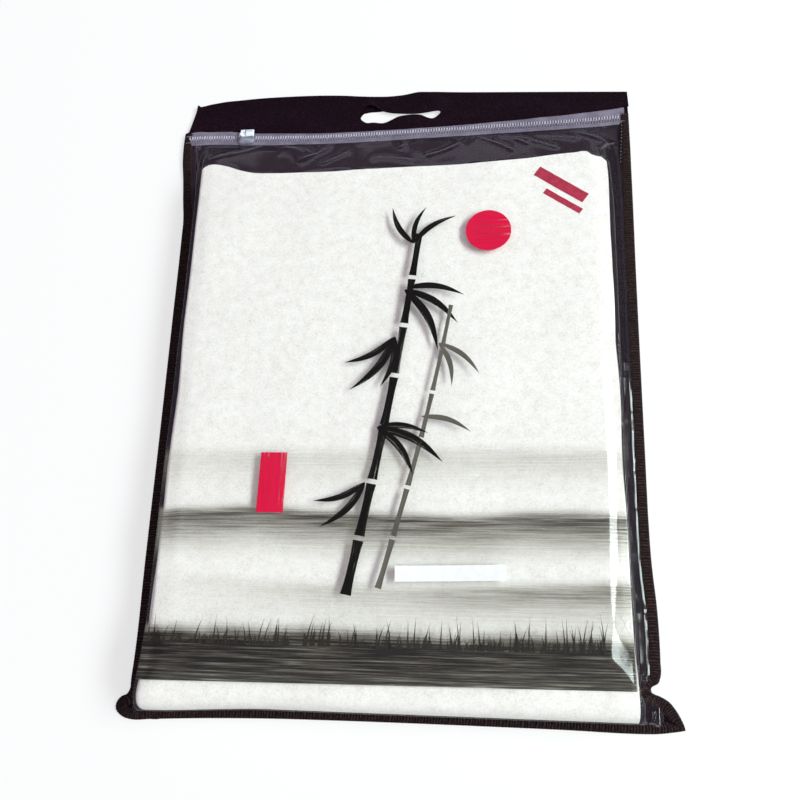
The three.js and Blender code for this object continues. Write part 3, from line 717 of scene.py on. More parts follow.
def printedFilm():  # calendered soft PVC: clear and glossy with slight waves, screen-printed in thin ink
    look, wash = frontFilm, washPrint
    material, tree = newMaterial("Soft PVC film, calendered and printed")
    where = addNode(tree, "TexCoord").outputs["Object"]
    axes = addNode(tree, "SeparateXYZ", {0: where})
    x, y = axes.outputs[0], axes.outputs[1]
    tone = None
    for top, swing, length, soft, fade, left, right, kept, start in wash["bands"]:
        run = addNode(tree, "Math", {0: x, 1: perMetre(length), 2: start}, operation="MULTIPLY_ADD")
        drift = addNode(tree, "TexNoise", {"W": run, "Scale": 1.0, "Detail": 3}, noise_dimensions="1D")
        edge = addNode(tree, "Math", {0: drift, 1: 4 * swing * mm, 2: (top - 2 * swing) * mm},
                       operation="MULTIPLY_ADD")
        depth = addNode(tree, "Math", {0: edge, 1: y}, operation="SUBTRACT")
        front = addNode(tree, "MapRange", {0: depth, 1: 0.0, 2: soft * mm, 3: 0.0, 4: 1.0},
                        interpolation_type="SMOOTHSTEP")
        behind = addNode(tree, "MapRange", {0: depth, 1: 0.0, 2: fade * mm, 3: 1.0, 4: kept},
                         interpolation_type="SMOOTHSTEP")
        side = addNode(tree, "MapRange", {0: x, 1: pileLow[0] * mm, 2: pileHigh[0] * mm, 3: left, 4: right})
        amount = addNode(tree, "Math", {0: front, 1: behind}, operation="MULTIPLY")
        amount = addNode(tree, "Math", {0: amount, 1: side}, operation="MULTIPLY")
        tone = addNode(tree, "Math", {0: tone, 1: amount}, operation="ADD") if tone else amount
    stretch = addNode(tree, "Mapping", {
        "Vector": where, "Location": wash["streakStart"],
        "Scale": (perMetre(wash["streakLong"]), perMetre(wash["streakWide"]), 1)})
    streaks = addNode(tree, "TexNoise", {"Vector": stretch, "Scale": 1.0, "Detail": 4, "Roughness": 0.65,
                                         "Lacunarity": 2.3}, noise_dimensions="2D")
    contrast, shift = wash["streakTone"]
    brush = addNode(tree, "Math", {0: streaks, 1: contrast, 2: shift}, operation="MULTIPLY_ADD")
    tone = addNode(tree, "Math", {0: tone, 1: brush}, operation="MULTIPLY", use_clamp=True)
    endLine = addNode(tree, "Math", {0: x, 1: wash["endSlant"], 2: wash["endY"] * mm},
                      operation="MULTIPLY_ADD")
    inPicture = addNode(tree, "Math", {0: y, 1: endLine}, operation="GREATER_THAN")
    cover = addNode(tree, "MapRange", {0: tone, 1: 0.0, 2: wash["coverFrom"], 3: 0.0, 4: wash["cover"]})
    cover = addNode(tree, "Math", {0: cover, 1: inPicture}, operation="MULTIPLY")
    for edge, inward in zip(wash["sides"], (1, -1)):
        within = addNode(tree, "MapRange", {0: x, 1: edge * mm, 2: (edge + inward * wash["sideFade"]) * mm})
        cover = addNode(tree, "Math", {0: cover, 1: within}, operation="MULTIPLY")
    ramp = addNode(tree, "ValToRGB", {0: tone}, stops=wash["colours"])
    waves = addNode(tree, "TexNoise", {"Vector": where, "Scale": perMetre(look["waveSize"]), "Detail": 2})
    bump = addNode(tree, "Bump", {"Height": waves, "Strength": 0.1, "Distance": look["waveHeight"] * mm})
    inside = addNode(tree, "NewGeometry").outputs["Backfacing"]
    outside = addNode(tree, "Math", {0: 1.0, 1: inside}, operation="SUBTRACT")
    rim = addNode(tree, "Fresnel", {"IOR": look["ior"], "Normal": bump})
    rim = addNode(tree, "Math", {0: rim, 1: outside}, operation="MULTIPLY")
    clear = addNode(tree, "BsdfTransparent")
    cloudy = addNode(tree, "BsdfDiffuse", {"Color": linearOf(look["hazeColour"])})
    # painted highlight along the folds: the lavender haze is raised there, so the lines show whatever the
    # light
    creaseHighlightShare = addNode(tree, "Attribute", attribute_name="creaseTone").outputs["Fac"]
    haze = addNode(tree, "MapRange", {0: creaseHighlightShare, 3: look["haze"], 4: look["creaseHighlightStrength"]})
    film = addNode(tree, "MixShader", {0: haze, 1: clear, 2: cloudy})
    ink = addNode(tree, "BsdfDiffuse", {"Color": ramp})
    printed = addNode(tree, "MixShader", {0: cover, 1: film, 2: ink})
    smooth = addNode(tree, "MapRange", {0: y, 1: pileHigh[1] * mm, 2: (pileHigh[1] + look["mouthFade"]) * mm,
                                        3: look["roughness"], 4: look["mouthRoughness"]})
    gloss = addNode(tree, "BsdfGlossy", {"Roughness": smooth, "Normal": bump})
    glazed = addNode(tree, "MixShader", {0: rim, 1: printed, 2: gloss})
    addNode(tree, "OutputMaterial", {"Surface": glazed})
    return material


slopeFrom = curveThrough(frontFilm["slopeFrom"])
slopeTo = curveThrough(frontFilm["slopeTo"])


def above(x, edge):  # how far x is past edge, with the corner slightly rounded
    soft = frontFilm["soft"]
    return soft * np.logaddexp(0, (x - edge) / soft)


def crownAt(x, y):
    look = frontFilm
    low, high = slopeFrom(y), slopeTo(y)
    flatFrom, flatTo, flatSlope = look["slopeFlat"]
    slope = mix(look["slope"], flatSlope, ease((y - flatFrom) / (flatTo - flatFrom)))
    crest = mix(look["slopeCrown"], look["crown"], ease((low - x) / look["slopeEase"]))
    rightFall = crest - slope * (above(x, low) - above(x, high)) - look["slopeBeyond"] * above(x, high)
    leftRise = look["crown"] * ease((pileInset(x, y) - look["crownFlat"]) / look["crownRun"])
    sides = np.where(np.asarray(x) > 0, rightFall, leftRise)
    turnAt, turnRun = look["footTurn"]
    footFrom = mix(*look["footFrom"], ease((x - turnAt) / turnRun))
    foot = look["footSlope"] * above(y, footFrom)
    highShare = ease((feltEnd(x) - y - look["crownFlat"]) / look["endRun"])
    return np.maximum(foot - above(foot, sides), 0) * highShare


def filmTop(x, y):  # middle of the film over the pile
    look = frontFilm
    ripple = look["topRipple"] * ripples(x, y, look["rippleSize"], seed=21) + feltWaves(x, y)
    waver = 1 + look["crownWaver"] * ripples(x, y, look["waverSize"], seed=22)
    return pileHigh[2] + look["ease"] + crownAt(x, y) * waver + ripple


def creasesAt(x, y):  # height of the folds, and the painted highlight along them, as a whitening of the film
    lift, tone = 0, 0
    for (x0, y0), (x1, y1), width, height in frontFilm["creases"]:
        length = math.hypot(x1 - x0, y1 - y0)
        along = ((x - x0) * (x1 - x0) + (y - y0) * (y1 - y0)) / length ** 2
        off = ((x - x0) * (y1 - y0) - (y - y0) * (x1 - x0)) / length + width / 2 * np.sin(3 * along)
        taper = ease(along * 4 + 0.5) * ease((1 - along) * 4 + 0.5)
        lift = lift + height * taper / (1 + (off / width) ** 2)
        # painted highlight: a pale line along each fold
        tone = tone + taper * np.exp(-(off / frontFilm["creaseHighlightWidth"]) ** 2)
    return lift, np.clip(tone, 0, 1)


def filmPiece():
    look, hem = frontFilm, frontFilm["hem"]
    fullSide = pileHigh[0] + look["ease"]
    walls = np.linspace(0, 1, look["wallColumns"])
    fineFrom = 1 - look["slopeStrip"] / fullSide
    flat = endToEnd((-1, fineFrom, look["topColumns"]), (fineFrom, 1, look["slopeColumns"]))
    beyond = np.concatenate([walls[:0:-1], np.zeros(len(flat)), walls[1:]])
    level = np.concatenate([-np.ones(len(walls) - 1), flat, np.ones(len(walls) - 1)])

    reach = stackHalf + look["ease"]
    stand = pileHigh[2] + look["ease"] - look["rimZ"]
    lowFoot = bottomEdge(0) + look["bottomInset"]
    pileEnd = feltEnd(0.0) + look["endLap"]
    mouthEnd = zipLine - look["mouthReach"]
    rows = []  # kind, place along the bag or share of it, share of the height, share of the way to the pile
    for t in np.linspace(0, 1, look["seamRows"]):
        rise = t * (foldZ - look["rimZ"]) / stand
        rows.append(("wall", mix(lowFoot, foldY - reach, ease(t)), rise, ease(t)))
    for a in np.linspace(math.pi, math.pi / 2, look["bottomRows"])[1:]:
        rise = (foldZ + reach * math.sin(a) - look["rimZ"]) / stand
        rows.append(("wall", foldY + reach * math.cos(a), rise, 1.0))
    corner = look["cornerTop"]
    for t in endToEnd((0, corner, look["cornerRows"]), (corner, 1, look["topRows"]))[1:]:
        rows.append(("top", t, 1.0, 1.0))
    knee, drop = look["mouthKnee"]
    for t in endToEnd((0, 2 * knee, look["kneeRows"]), (2 * knee, 1, look["mouthRows"]))[1:]:
        rise = 1 - drop * ease(t / knee) - (1 - drop) * np.clip((t - knee / 2) / (1 - knee / 2), 0, 1)
        rows.append(("mouth", t, rise, 1.0))

    bow = look["shoulder"]
    hemWide = np.where(level < 0, 0, hem["wide"])
    fall = np.clip(beyond / (1 - hemWide), 0, 1)
    softened = (np.sqrt(fall ** 2 + bow ** 2) - bow) / (math.sqrt(1 + bow ** 2) - bow)
    wallRise = (1 - softened) ** np.where(level < 0, *look["wallBow"])
    hemRise = np.clip((1 - beyond) / np.maximum(hemWide, 0.01), 0, 1) * ease(beyond * 2)
    hemTop, hemTopRun = hem["top"]
    hemFoot, hemFootRun = hem["foot"]
    grid, paintedHighlights = [], []
    for kind, place, rise, onPile in rows:
        nominal = place
        if kind == "top":
            nominal = mix(foldY, pileEnd, place)
        elif kind == "mouth":
            nominal = mix(pileEnd, mouthEnd, place)
        leftTop = fullSide - tuckLeft(nominal)
        rightTop = fullSide - tuckRight(nominal)
        seam = mix(look["cornerInset"], look["seamInset"], ease((nominal - lowFoot) / look["cornerRun"]))
        leftWall = -mix(leftTop, -leftEdge(nominal) - seam, beyond)
        rightWall = mix(rightTop, rightEdge(nominal) - seam, beyond)
        overPile = mix(-leftTop, rightTop, (level + 1) / 2)
        x = np.where(beyond == 0, overPile, np.where(level < 0, leftWall, rightWall))
        endY = feltEnd(np.clip(x, -pileHigh[0], pileHigh[0])) + look["endLap"]
        if kind == "wall":
            y = place + mix(bottomEdge(x) - bottomEdge(0), footShift(x), onPile)
        elif kind == "top":
            y = mix(foldY + footShift(x), endY, place)
        else:
            y = mix(endY, mouthEnd + zipBow(x), place)
        rim = mix(look["rimZ"], look["mouthZ"], mouthShare(y))
        top = filmTop(np.clip(x, -leftTop, rightTop), np.clip(y, foldY, endY))
        hemWave = 1 + hem["wave"] * ripples(y, 0 * y, hem["waveSize"], seed=33)
        hemLift = hem["height"] * (level > 0) * hemWave
        hemLift = hemLift * ease((hemTop - y) / hemTopRun) * ease((y - hemFoot) / hemFootRun)
        z = rim + (top - rim) * rise * wallRise + hemLift * hemRise * min(rise * 3, 1)
        for cx, cy, sx, sy, height in look["bulges"]:
            z = z + height * np.exp(-((x - cx) / sx) ** 2 - ((y - cy) / sy) ** 2) * (1 - beyond ** 3)
        edgeFade = ease((1 - beyond) * 5)
        lift, tone = creasesAt(x, y)
        z = z + lift * edgeFade
        paintedHighlights.append(tone * edgeFade)
        if kind == "mouth":
            slack = look["crumple"]
            loose = ease(place * 4) * ease((1 - place) * 5) * edgeFade
            fine = slack["fine"] * ripples(x, y, slack["fineSize"], seed=32)
            z = z + slack["height"] * loose * (ripples(x, y, slack["size"], seed=31) + fine)
        grid.append(np.stack([x, y, np.maximum(z, look["rimZ"] - look["rimSlack"])], axis=1))
    grid = np.array(grid)
    points, faces = thicken(grid, look["thickness"])
    piece = addPiece("front_film_draped", points, faces, printedFilm(), "clear_film", crease=70)
    piece.data.materials.append(clearFilm())
    outer = (grid.shape[0] - 1) * (grid.shape[1] - 1)
    piece.data.polygons.foreach_set("material_index", (np.arange(len(faces)) >= outer).astype(np.int32))
    # painted highlight along the folds, stored on the points
    creaseHighlightLayer = piece.data.attributes.new("creaseTone", "FLOAT", "POINT")
    creaseHighlightLayer.data.foreach_set("value", np.tile(np.array(paintedHighlights).ravel(), 2))
    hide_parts("front_film")
    print("film draped:", len(points), "points")


def sweep(loops):  # a closed skin through closed loops of points, capped at both ends
    rows, cols = loops.shape[:2]
    j, i = np.meshgrid(np.arange(rows - 1), np.arange(cols), indexing="ij")
    a = (j * cols + i).ravel()
    b = (j * cols + (i + 1) % cols).ravel()
    sides = np.stack([a, b, b + cols, a + cols], axis=1).tolist()
    caps = [list(range(cols))[::-1], list(range((rows - 1) * cols, rows * cols))]
    return loops.reshape(-1, 3), sides + caps


def faceOutward(piece):
    shape = bmesh.new()
    shape.from_mesh(piece.data)
    bmesh.ops.recalc_face_normals(shape, faces=shape.faces)
    shape.to_mesh(piece.data)
    shape.free()


def evenly(points, step):  # points along a path, about step apart
    gaps = np.linalg.norm(np.diff(points, axis=0), axis=1)
    run = np.concatenate([[0], np.cumsum(gaps)])
    stations = np.linspace(0, run[-1], int(run[-1] / step) + 1)
    return np.stack([np.interp(stations, run, points[:, k]) for k in (0, 1)], axis=1), stations


def surfaceOf(name, colours, cloudSize, seeThrough=0.0, bumpHeight=0.0, **sockets):  # clouds of two tones
    material, tree = newMaterial(name)
    where = addNode(tree, "TexCoord").outputs["Object"]
    cloud = addNode(tree, "TexNoise", {"Vector": where, "Scale": perMetre(cloudSize), "Detail": 3})
    ramp = addNode(tree, "ValToRGB", {0: cloud}, stops=list(zip((0.38, 0.64), colours)))
    bump = addNode(tree, "Bump", {"Height": cloud, "Strength": 0.5, "Distance": bumpHeight * mm})
    finish = {key.replace("_", " "): value for key, value in sockets.items()}
    finish.update({"Base Color": ramp, "Normal": bump})
    surface = addNode(tree, "BsdfPrincipled", finish)
    if seeThrough:
        clear = addNode(tree, "BsdfTransparent")
        surface = addNode(tree, "MixShader", {0: seeThrough, 1: surface, 2: clear})
    addNode(tree, "OutputMaterial", {"Surface": surface})
    return material


# Sewn edges: an overlocked band of black thread round the sides and the bottom
sewnEdging = {
    "sideWidth": 9.6,
    "bottomWidth": 8.6,
    "height": 2.9,
    "mouthHeight": 4.9,
    "ribPitch": 2.4,
    "ribDepth": 0.6,
    "tipRun": 16,
    "ribBow": 0.55,  # how far each thread bows along the seam, as a share of the pitch
    "stepsPerRib": 8,
    "smoothing": 31,  # points over which the seam's direction is evened out
    "wobble": 0.5,  # unevenness of the loops, and its length along the seam
    "wobbleSize": 7,
    "baseZ": 0.05,
    "leftStart": -204,
    "bottomEnds": (-208, 236.5),
    "topLap": 0.5,  # past the zip tape
    "pathStep": 0.2,
    "section": [  # share of the width in from the edge, share of the height
        (1.0, 0.55), (0.97, 0.85), (0.88, 0.97), (0.7, 1.0), (0.5, 1.0), (0.3, 0.98), (0.14, 0.9),
        (0.04, 0.74), (0.0, 0.48), (0.04, 0.2), (0.14, 0.05), (0.5, 0.0), (0.9, 0.0), (1.0, 0.25)],
    # groove to loop top: the lightest stop is a painted highlight on each loop's top, broken by the thread's
    # fluff specks
    "colours": [(0.08, "#120a0b"), (0.3, "#1f1213"), (0.6, "#402c2c")],
    "fluffSize": 1.6,  # drawn coarser than the thread's own fibres, so that it shows
}


def edgingPiece(name, node, path, turn, width, tips, material):  # tips: share of the width left at each end
    look = sewnEdging
    points, run = evenly(path, look["ribPitch"] / look["stepsPerRib"])
    tangent = np.gradient(points, axis=0)
    span = look["smoothing"]
    drawn = np.pad(tangent, ((span // 2, span // 2), (0, 0)), mode="edge")
    tangent = np.stack([np.convolve(drawn[:, k], np.ones(span) / span, mode="valid") for k in (0, 1)], axis=1)
    tangent /= np.linalg.norm(tangent, axis=1, keepdims=True)
    inward = np.stack([-tangent[:, 1], tangent[:, 0]], axis=1) * turn
    rise = mix(look["height"], look["mouthHeight"], mouthShare(points[:, 1]))
    wobble = look["wobble"] * ripples(run, run * 0, look["wobbleSize"], seed=41)
    taper = mix(tips[0], 1, ease(run / look["tipRun"]))
    taper = taper * mix(tips[1], 1, ease((run[-1] - run) / look["tipRun"]))
    section = np.array(look["section"])
    loops = np.zeros((len(points), len(section), 3))
    paintedHighlights = np.zeros((len(points), len(section)))
    for k, (inset, height) in enumerate(section):
        bow = look["ribBow"] * (2 * inset - 1) ** 2
        phase = 2 * math.pi * (run / look["ribPitch"] + bow) + wobble * 2
        rib = look["ribDepth"] * (0.5 + 0.5 * np.cos(phase))
        # painted highlight, lightest along each loop's top
        paintedHighlights[:, k] = 0.5 - 0.5 * np.cos(phase)
        topShare = ease((height - 0.3) * 3)
        sideDent = 0.4 * rib * (1 - topShare) * (inset < 0.2)
        loops[:, k, :2] = points + inward * (inset * width * taper + sideDent)[:, None]
        loops[:, k, 2] = look["baseZ"] + rise * height - rib * topShare
    piece = addPiece(name, *sweep(loops), material, "edging", crease=80)
    piece.data.attributes.new("ribTone", "FLOAT", "POINT").data.foreach_set("value", paintedHighlights.ravel())
    faceOutward(piece)
    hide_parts(node)


def pathThrough(points):  # a smooth path through a few points
    points = np.array(points, float)
    run = np.concatenate([[0], np.cumsum(np.linalg.norm(np.diff(points, axis=0), axis=1))])
    stations = np.arange(0, run[-1], sewnEdging["pathStep"])
    return np.stack([curveThrough(np.stack([run, points[:, k]], axis=1))(stations) for k in (0, 1)], axis=1)


def overlockThread():  # dull black thread, with a painted highlight along the top of each loop
    look = sewnEdging
    material, tree = newMaterial("Overlocked polyester thread, black")
    where = addNode(tree, "TexCoord").outputs["Object"]
    fluff = addNode(tree, "TexNoise", {
        "Vector": where, "Scale": perMetre(look["fluffSize"]), "Detail": 4, "Roughness": 0.7})
    # painted highlight along the loops' tops, mixed with the thread's fluff specks
    loops = addNode(tree, "Attribute", attribute_name="ribTone").outputs["Fac"]
    specks = addNode(tree, "MapRange", {0: fluff, 1: 0.3, 2: 0.7})
    tone = addNode(tree, "Math", {0: loops, 1: specks}, operation="MULTIPLY")
    ramp = addNode(tree, "ValToRGB", {0: tone}, stops=look["colours"])
    bump = addNode(tree, "Bump", {"Height": fluff, "Strength": 0.5, "Distance": 0.2 * mm})
    surface = addNode(tree, "BsdfPrincipled", {
        "Base Color": ramp, "Roughness": 0.75, "Specular IOR Level": 0.12, "Normal": bump})
    addNode(tree, "OutputMaterial", {"Surface": surface})
    return material


def edgingPieces():
    look = sewnEdging
    thread = overlockThread()
    top = zipTop[1] + look["topLap"]
    start = look["leftStart"]
    left = [(x, y) for y, x in outline["left"] if y < top] + [(leftEdge(top), top)]
    left = pathThrough([(start, bottomEdge(start))] + left)
    edgingPiece("left_edging_sewn", "left_edging", left, -1, look["sideWidth"], (0.6, 1), thread)
    right = pathThrough([(x, y) for y, x in outline["right"] if y < top] + [(rightEdge(top), top)])
    edgingPiece("right_edging_sewn", "right_edging", right, 1, look["sideWidth"], (0.4, 1), thread)
    xs = np.arange(*look["bottomEnds"], look["pathStep"])
    bottom = np.stack([xs, bottomEdge(xs)], axis=1)
    edgingPiece("bottom_edging_sewn", "bottom_edging", bottom, 1, look["bottomWidth"], (0.8, 0.4), thread)
    print("edges overlocked")


# Zip: two cloudy tapes that follow the slack mouth, and their meshed teeth
zipper = {
    "tapeFrom": 0.9,  # from the zip's middle line
    "tapeTo": 7.2,
    "tapeZ": 4.0,
    "tapeThick": 0.45,
    "tapeWave": (0.18, 40),  # height and length
    "ends": (-233.5, 225),
    "columns": 320,
    "tapeRows": 8,
    "toothMargin": 4,  # from the tape's ends
    "toothPitch": 2.7,
    "toothLong": 1.5,  # along the zip
    "toothFrom": -0.5,
    "toothTo": 3.5,
    "toothLow": 3.2,
    "toothHigh": 5.0,
    "toothRings": [(0, 1.0), (0.7, 1.0), (1, 0.6)],  # share of the height, share of the length
    "cordReach": 4.2,
    "cordLift": 0.35,
    "cordSides": 8,
    "cordRadius": 0.62,
    "tapeColours": ["#958ca3", "#aaa2b5"],
    # one white for both chains: the lower chain's darker colours are painted shade
    "upperColours": ["#b4afc0", "#dcd8e6"],
    "lowerColours": ["#7d7787", "#9a95a4"],
}


def zipTooth(x, side):  # a block that narrows at the top
    look = zipper
    middle = (look["toothFrom"] + look["toothTo"]) / 2
    rings = []
    for up, share in look["toothRings"]:
        halfLong = look["toothLong"] / 2 * share
        halfWide = (look["toothTo"] - look["toothFrom"]) / 2 * mix(1, share, 0.3)
        height = mix(look["toothLow"], look["toothHigh"], up)
        rings.append([(x + a * halfLong, zipLine + zipBow(x) + side * (middle + b * halfWide), height)
                      for a, b in ((-1, -1), (1, -1), (1, 1), (-1, 1))])
    return sweep(np.array(rings))


def zipPieces():
    look = zipper
    # cloudy lavender strip that lets the black show through
    tape = surfaceOf("PVC zip tape, extruded", look["tapeColours"], cloudSize=14, seeThrough=0.55,
                     Roughness=0.35, Specular_IOR_Level=0.3)
    first, last = look["ends"]
    xs = np.linspace(first, last, look["columns"])
    waveHeight, waveSize = look["tapeWave"]
    for side, node in ((1, "upper"), (-1, "lower")):
        share = np.linspace(0, 1, look["tapeRows"])
        x, t = np.meshgrid(xs, share if side > 0 else share[::-1])
        reach = tapeReach(x) if side > 0 else look["tapeTo"]
        y = zipLine + zipBow(x) + side * mix(look["tapeFrom"], reach, t)
        z = look["tapeZ"] + waveHeight * ripples(x, y, waveSize, seed=51)
        sheet = thicken(np.stack([x, y, z], 2), look["tapeThick"])
        body = "bag" if side < 0 else None
        piece = addPiece("zip_%s_tape_bowed" % node, *sheet, tape, "zip_tape", body=body)
        if side > 0:
            bendWithHeader(piece)
        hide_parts("zip_%s_tape" % node)

        turn = np.linspace(0, 2 * math.pi, look["cordSides"] + 1)[:-1]
        along, around = np.meshgrid(xs, turn, indexing="ij")
        cordY = zipLine + zipBow(along) + side * look["cordReach"] + look["cordRadius"] * np.cos(around)
        cordZ = look["tapeZ"] + look["cordLift"] + look["cordRadius"] * np.sin(around)
        cord = sweep(np.stack([along, cordY, cordZ], axis=2))
        faceOutward(addPiece("zip_%s_cord" % node, *cord, tape, "zip_tape", crease=60))

        shift = look["toothPitch"] / 2 if side < 0 else 0
        margin = look["toothMargin"]
        places = np.arange(first + margin + shift, last - margin, look["toothPitch"])
        chain = joined([zipTooth(x, side) for x in places])
        # cloudy white ticks; the lower chain's darker colours are painted shade
        teeth = surfaceOf("Polyacetal teeth, moulded, %s" % node, look[node + "Colours"], cloudSize=2,
                          seeThrough=0.2, Roughness=0.4)
        piece = addPiece("zip_%s_teeth_meshed" % node, *chain, teeth, "zip_teeth", crease=40)
        faceOutward(piece)
        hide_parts("zip_%s_teeth" % node)
    print("zip closed")


# Stitches: white thread where the zip and the film's mouth are sewn into the right edge
stitching = {
    "path": [(262, 221.5), (248, 220.6), (232, 219.4), (214, 218.2)],  # along the bag, across it
    "height": [(214, 4.2), (240, 5.6), (262, 5.4)],
    "pitch": 3.8,
    "long": 1.7,
    "thick": 0.55,
    "profile": [(-0.5, 0.25), (-0.3, 0.9), (0, 1), (0.3, 0.9), (0.5, 0.25)],  # shares of the length and girth
    "sides": 6,
    "colours": ["#77757f", "#a5a4b0"],
}


def stitchPieces():
    look = stitching
    # spun thread: soft pale dashes
    thread = surfaceOf("Polyester sewing thread, white", look["colours"], cloudSize=2, Roughness=0.6)
    across = curveThrough(look["path"][::-1])
    height = curveThrough(look["height"])
    turn = np.linspace(0, 2 * math.pi, look["sides"] + 1)[:-1]
    parts = []
    for y in np.arange(look["path"][-1][0], look["path"][0][0], look["pitch"]):
        loops = []
        for share, girth in look["profile"]:
            place = y + share * look["long"]
            radius = girth * look["thick"] / 2
            ringX = across(place) + radius * np.cos(turn)
            ringZ = height(place) + radius * np.sin(turn)
            loops.append(np.stack([ringX, 0 * turn + place, ringZ], axis=1))
        parts.append(sweep(np.array(loops)))
    faceOutward(addPiece("mouth_stitches", *joined(parts), thread, "edging", crease=70))
    print("mouth stitched")


# Slider and pull tab: the frame's own forms with their moulded edges rounded
slider = {
    "bodyRound": 0.35,
    "room": [(3.5, 2.9), (4.5, 5.1)],  # the frame's lips and where they go, to let the bowed zip through
    "tabRound": 0.4,
    "grip": {"from": -168.3, "long": 0.88, "top": 270.25, "wide": 0.8},  # shares of the frame's sizes
    "tabFill": [  # the grip runs on beside the lugs: low and high corners
        ((-172.6, 266.3, 6.6), (-167.4, 270.2, 7.9)), ((-169.8, 262.3, 6.6), (-167.4, 266.8, 7.9))],
    "whiteFrom": (264, 6.6),  # the upper lug is as white as the tab: along the bag, and above the roof
    "bodyColours": ["#8f8ca2", "#a6a4b6"],
    "tabColours": ["#e3ebf7", "#f0f5fb"],
}


def placeNumber(part):  # one number for the place of a point, an edge or a face
    corners = [part] if isinstance(part, bmesh.types.BMVert) else part.verts
    return float(np.mean([vert.co for vert in corners], axis=0) @ np.array([1, 0.618, 0.271]))


def moulded(name, node, material, slotName, body, radius, extra=(), grip=None, room=()):
    shape = bmesh.new()
    shape.from_mesh(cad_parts[node].data)
    for vert in shape.verts:
        for lip, wall in room:
            if abs(vert.co.z - lip * mm) < 0.05 * mm:
                vert.co.z = wall * mm
    bmesh.ops.remove_doubles(shape, verts=shape.verts, dist=0.005 * mm)
    bmesh.ops.dissolve_limit(shape, angle_limit=math.radians(3), verts=shape.verts, edges=shape.edges)
    for vert in shape.verts:
        if grip and vert.co.x > grip["from"] * mm:
            vert.co.x = mix(grip["from"] * mm, vert.co.x, grip["long"])
            vert.co.y = mix(grip["top"] * mm, vert.co.y, grip["wide"])
    for low, high in np.array(extra) * mm:
        corner = bmesh.ops.create_cube(shape, size=1)["verts"]
        bmesh.ops.scale(shape, verts=corner, vec=high - low)
        bmesh.ops.translate(shape, verts=corner, vec=(low + high) / 2)
    sharp = [e for e in shape.edges if len(e.link_faces) == 2 and e.calc_face_angle(0) > math.radians(40)]
    bmesh.ops.bevel(shape, geom=sharp, offset=radius * mm, segments=2, affect="EDGES", clamp_overlap=True)
    bmesh.ops.triangulate(shape, faces=[f for f in shape.faces if len(f.verts) > 4])
    for parts in (shape.verts, shape.edges, shape.faces):  # the bevel's own order changes from run to run
        parts.sort(key=placeNumber)
    mesh = bpy.data.meshes.new(name)
    shape.to_mesh(mesh)
    shape.free()
    piece = placePiece(name, mesh, material, slotName, body, crease=35)
    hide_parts(node)
    return piece


def sliderPieces():
    # milky plastic that lets some of the dark zip through, and a plain satin white that stands out on it
    look = slider
    cloudy = surfaceOf("Polyacetal slider, moulded", look["bodyColours"], cloudSize=4, seeThrough=0.4,
                       Roughness=0.35)
    white = surfaceOf("White polyacetal, moulded", look["tabColours"], cloudSize=5, bumpHeight=0.05,
                      Roughness=0.38)
    body = moulded("slider_body_moulded", "slider_body", cloudy, "slider", "slider", look["bodyRound"],
                   room=look["room"]).data
    body.materials.append(white)
    lugY, lugZ = look["whiteFrom"]
    for face in body.polygons:
        face.material_index = int(face.center.y > lugY * mm and face.center.z > lugZ * mm)
    moulded("pull_tab_moulded", "pull_tab", white, "pull_tab", "tab", look["tabRound"], extra=look["tabFill"],
            grip=look["grip"])
    print("slider moulded")


# Print on the film and the mat: ink bamboo, a red sun, a red block, plain bars and a blank sticker
inkPrint = {
    "gap": 0.3,  # over the middle of the film
    "thick": 0.1,
    "layer": 0.03,  # crossing strokes lie on each other in steps, and this many of them
    "layers": 7,
    "stalks": [  # foot, top, width, joints, ink
        ((-28, -214), (22, 118), 8.5, 7, "black"),
        ((-2, -208), (52, 44), 5.0, 6, "grey"),
    ],
    "stalkForm": {"points": 16, "gap": 0.006, "sway": 5, "turn": 2.6, "waist": 0.86, "knob": 0.24,
                  "tip": 0.72},
    "leaves": [  # base, heading in degrees, length, width, ink
        ((12, 58), -62, 66, 11, "black"), ((12, 58), -34, 58, 10, "black"), ((14, 60), -8, 52, 9, "black"),
        ((5, 12), -128, 62, 11, "black"), ((5, 12), -152, 50, 9, "black"), ((5, 12), -104, 48, 9, "black"),
        ((19, 106), 36, 48, 8, "black"), ((19, 106), 74, 40, 7, "black"), ((19, 106), 118, 44, 8, "black"),
        ((-8, -72), -28, 64, 11, "black"), ((-8, -72), -52, 52, 10, "black"), ((-8, -72), -6, 44, 8, "black"),
        ((44, 6), -40, 46, 7, "grey"), ((44, 6), -74, 42, 7, "grey"), ((30, -62), -18, 44, 7, "grey"),
        ((-16, -120), -160, 46, 8, "black"), ((-16, -120), -134, 52, 9, "black"),
    ],
    "leafForm": {"points": 22, "bend": 0.1, "full": 1.9, "base": 0.6, "end": 0.95, "least": 0.03},
    "sun": {"place": (88, 118), "radius": 21},
    "block": {"place": (-96, -120), "size": (23, 52)},
    "labelTurn": 1.5,  # degrees
    "bars": [((156, 168), 54, 11), ((157, 150), 40, 6)],  # middle, length and width, on the felt
    "barTurn": -36,
    "barGap": 0.12,
    "reeds": {"count": 230, "ends": (-190, 174), "foot": -252, "least": 8, "more": 20, "wave": 4,
              "waveSize": 70, "lean": (-4, 5), "half": 0.8, "tip": 0.06},
    "hairs": (60, 2, 7),  # brush marks: length, width and change from stroke to stroke
    "dryness": 0.55,  # how far the driest hairs let the felt show
    "black": ["#0c0b0a", "#1b1917"],
    "grey": ["#55524b", "#716d64"],
    "reed": ["#2a2723", "#3d3933"],
    "red": ["#d2133c", "#dc1f48"],
    "feltRed": ["#a01330", "#b52343"],
    "white": ["#eeeff0", "#f6f6f7"],
}


def onFilm(x, y, gap):
    return filmTop(x, y) + gap


def onFelt(x, y, gap):
    return pileHigh[2] + feltLift(x, y) + gap


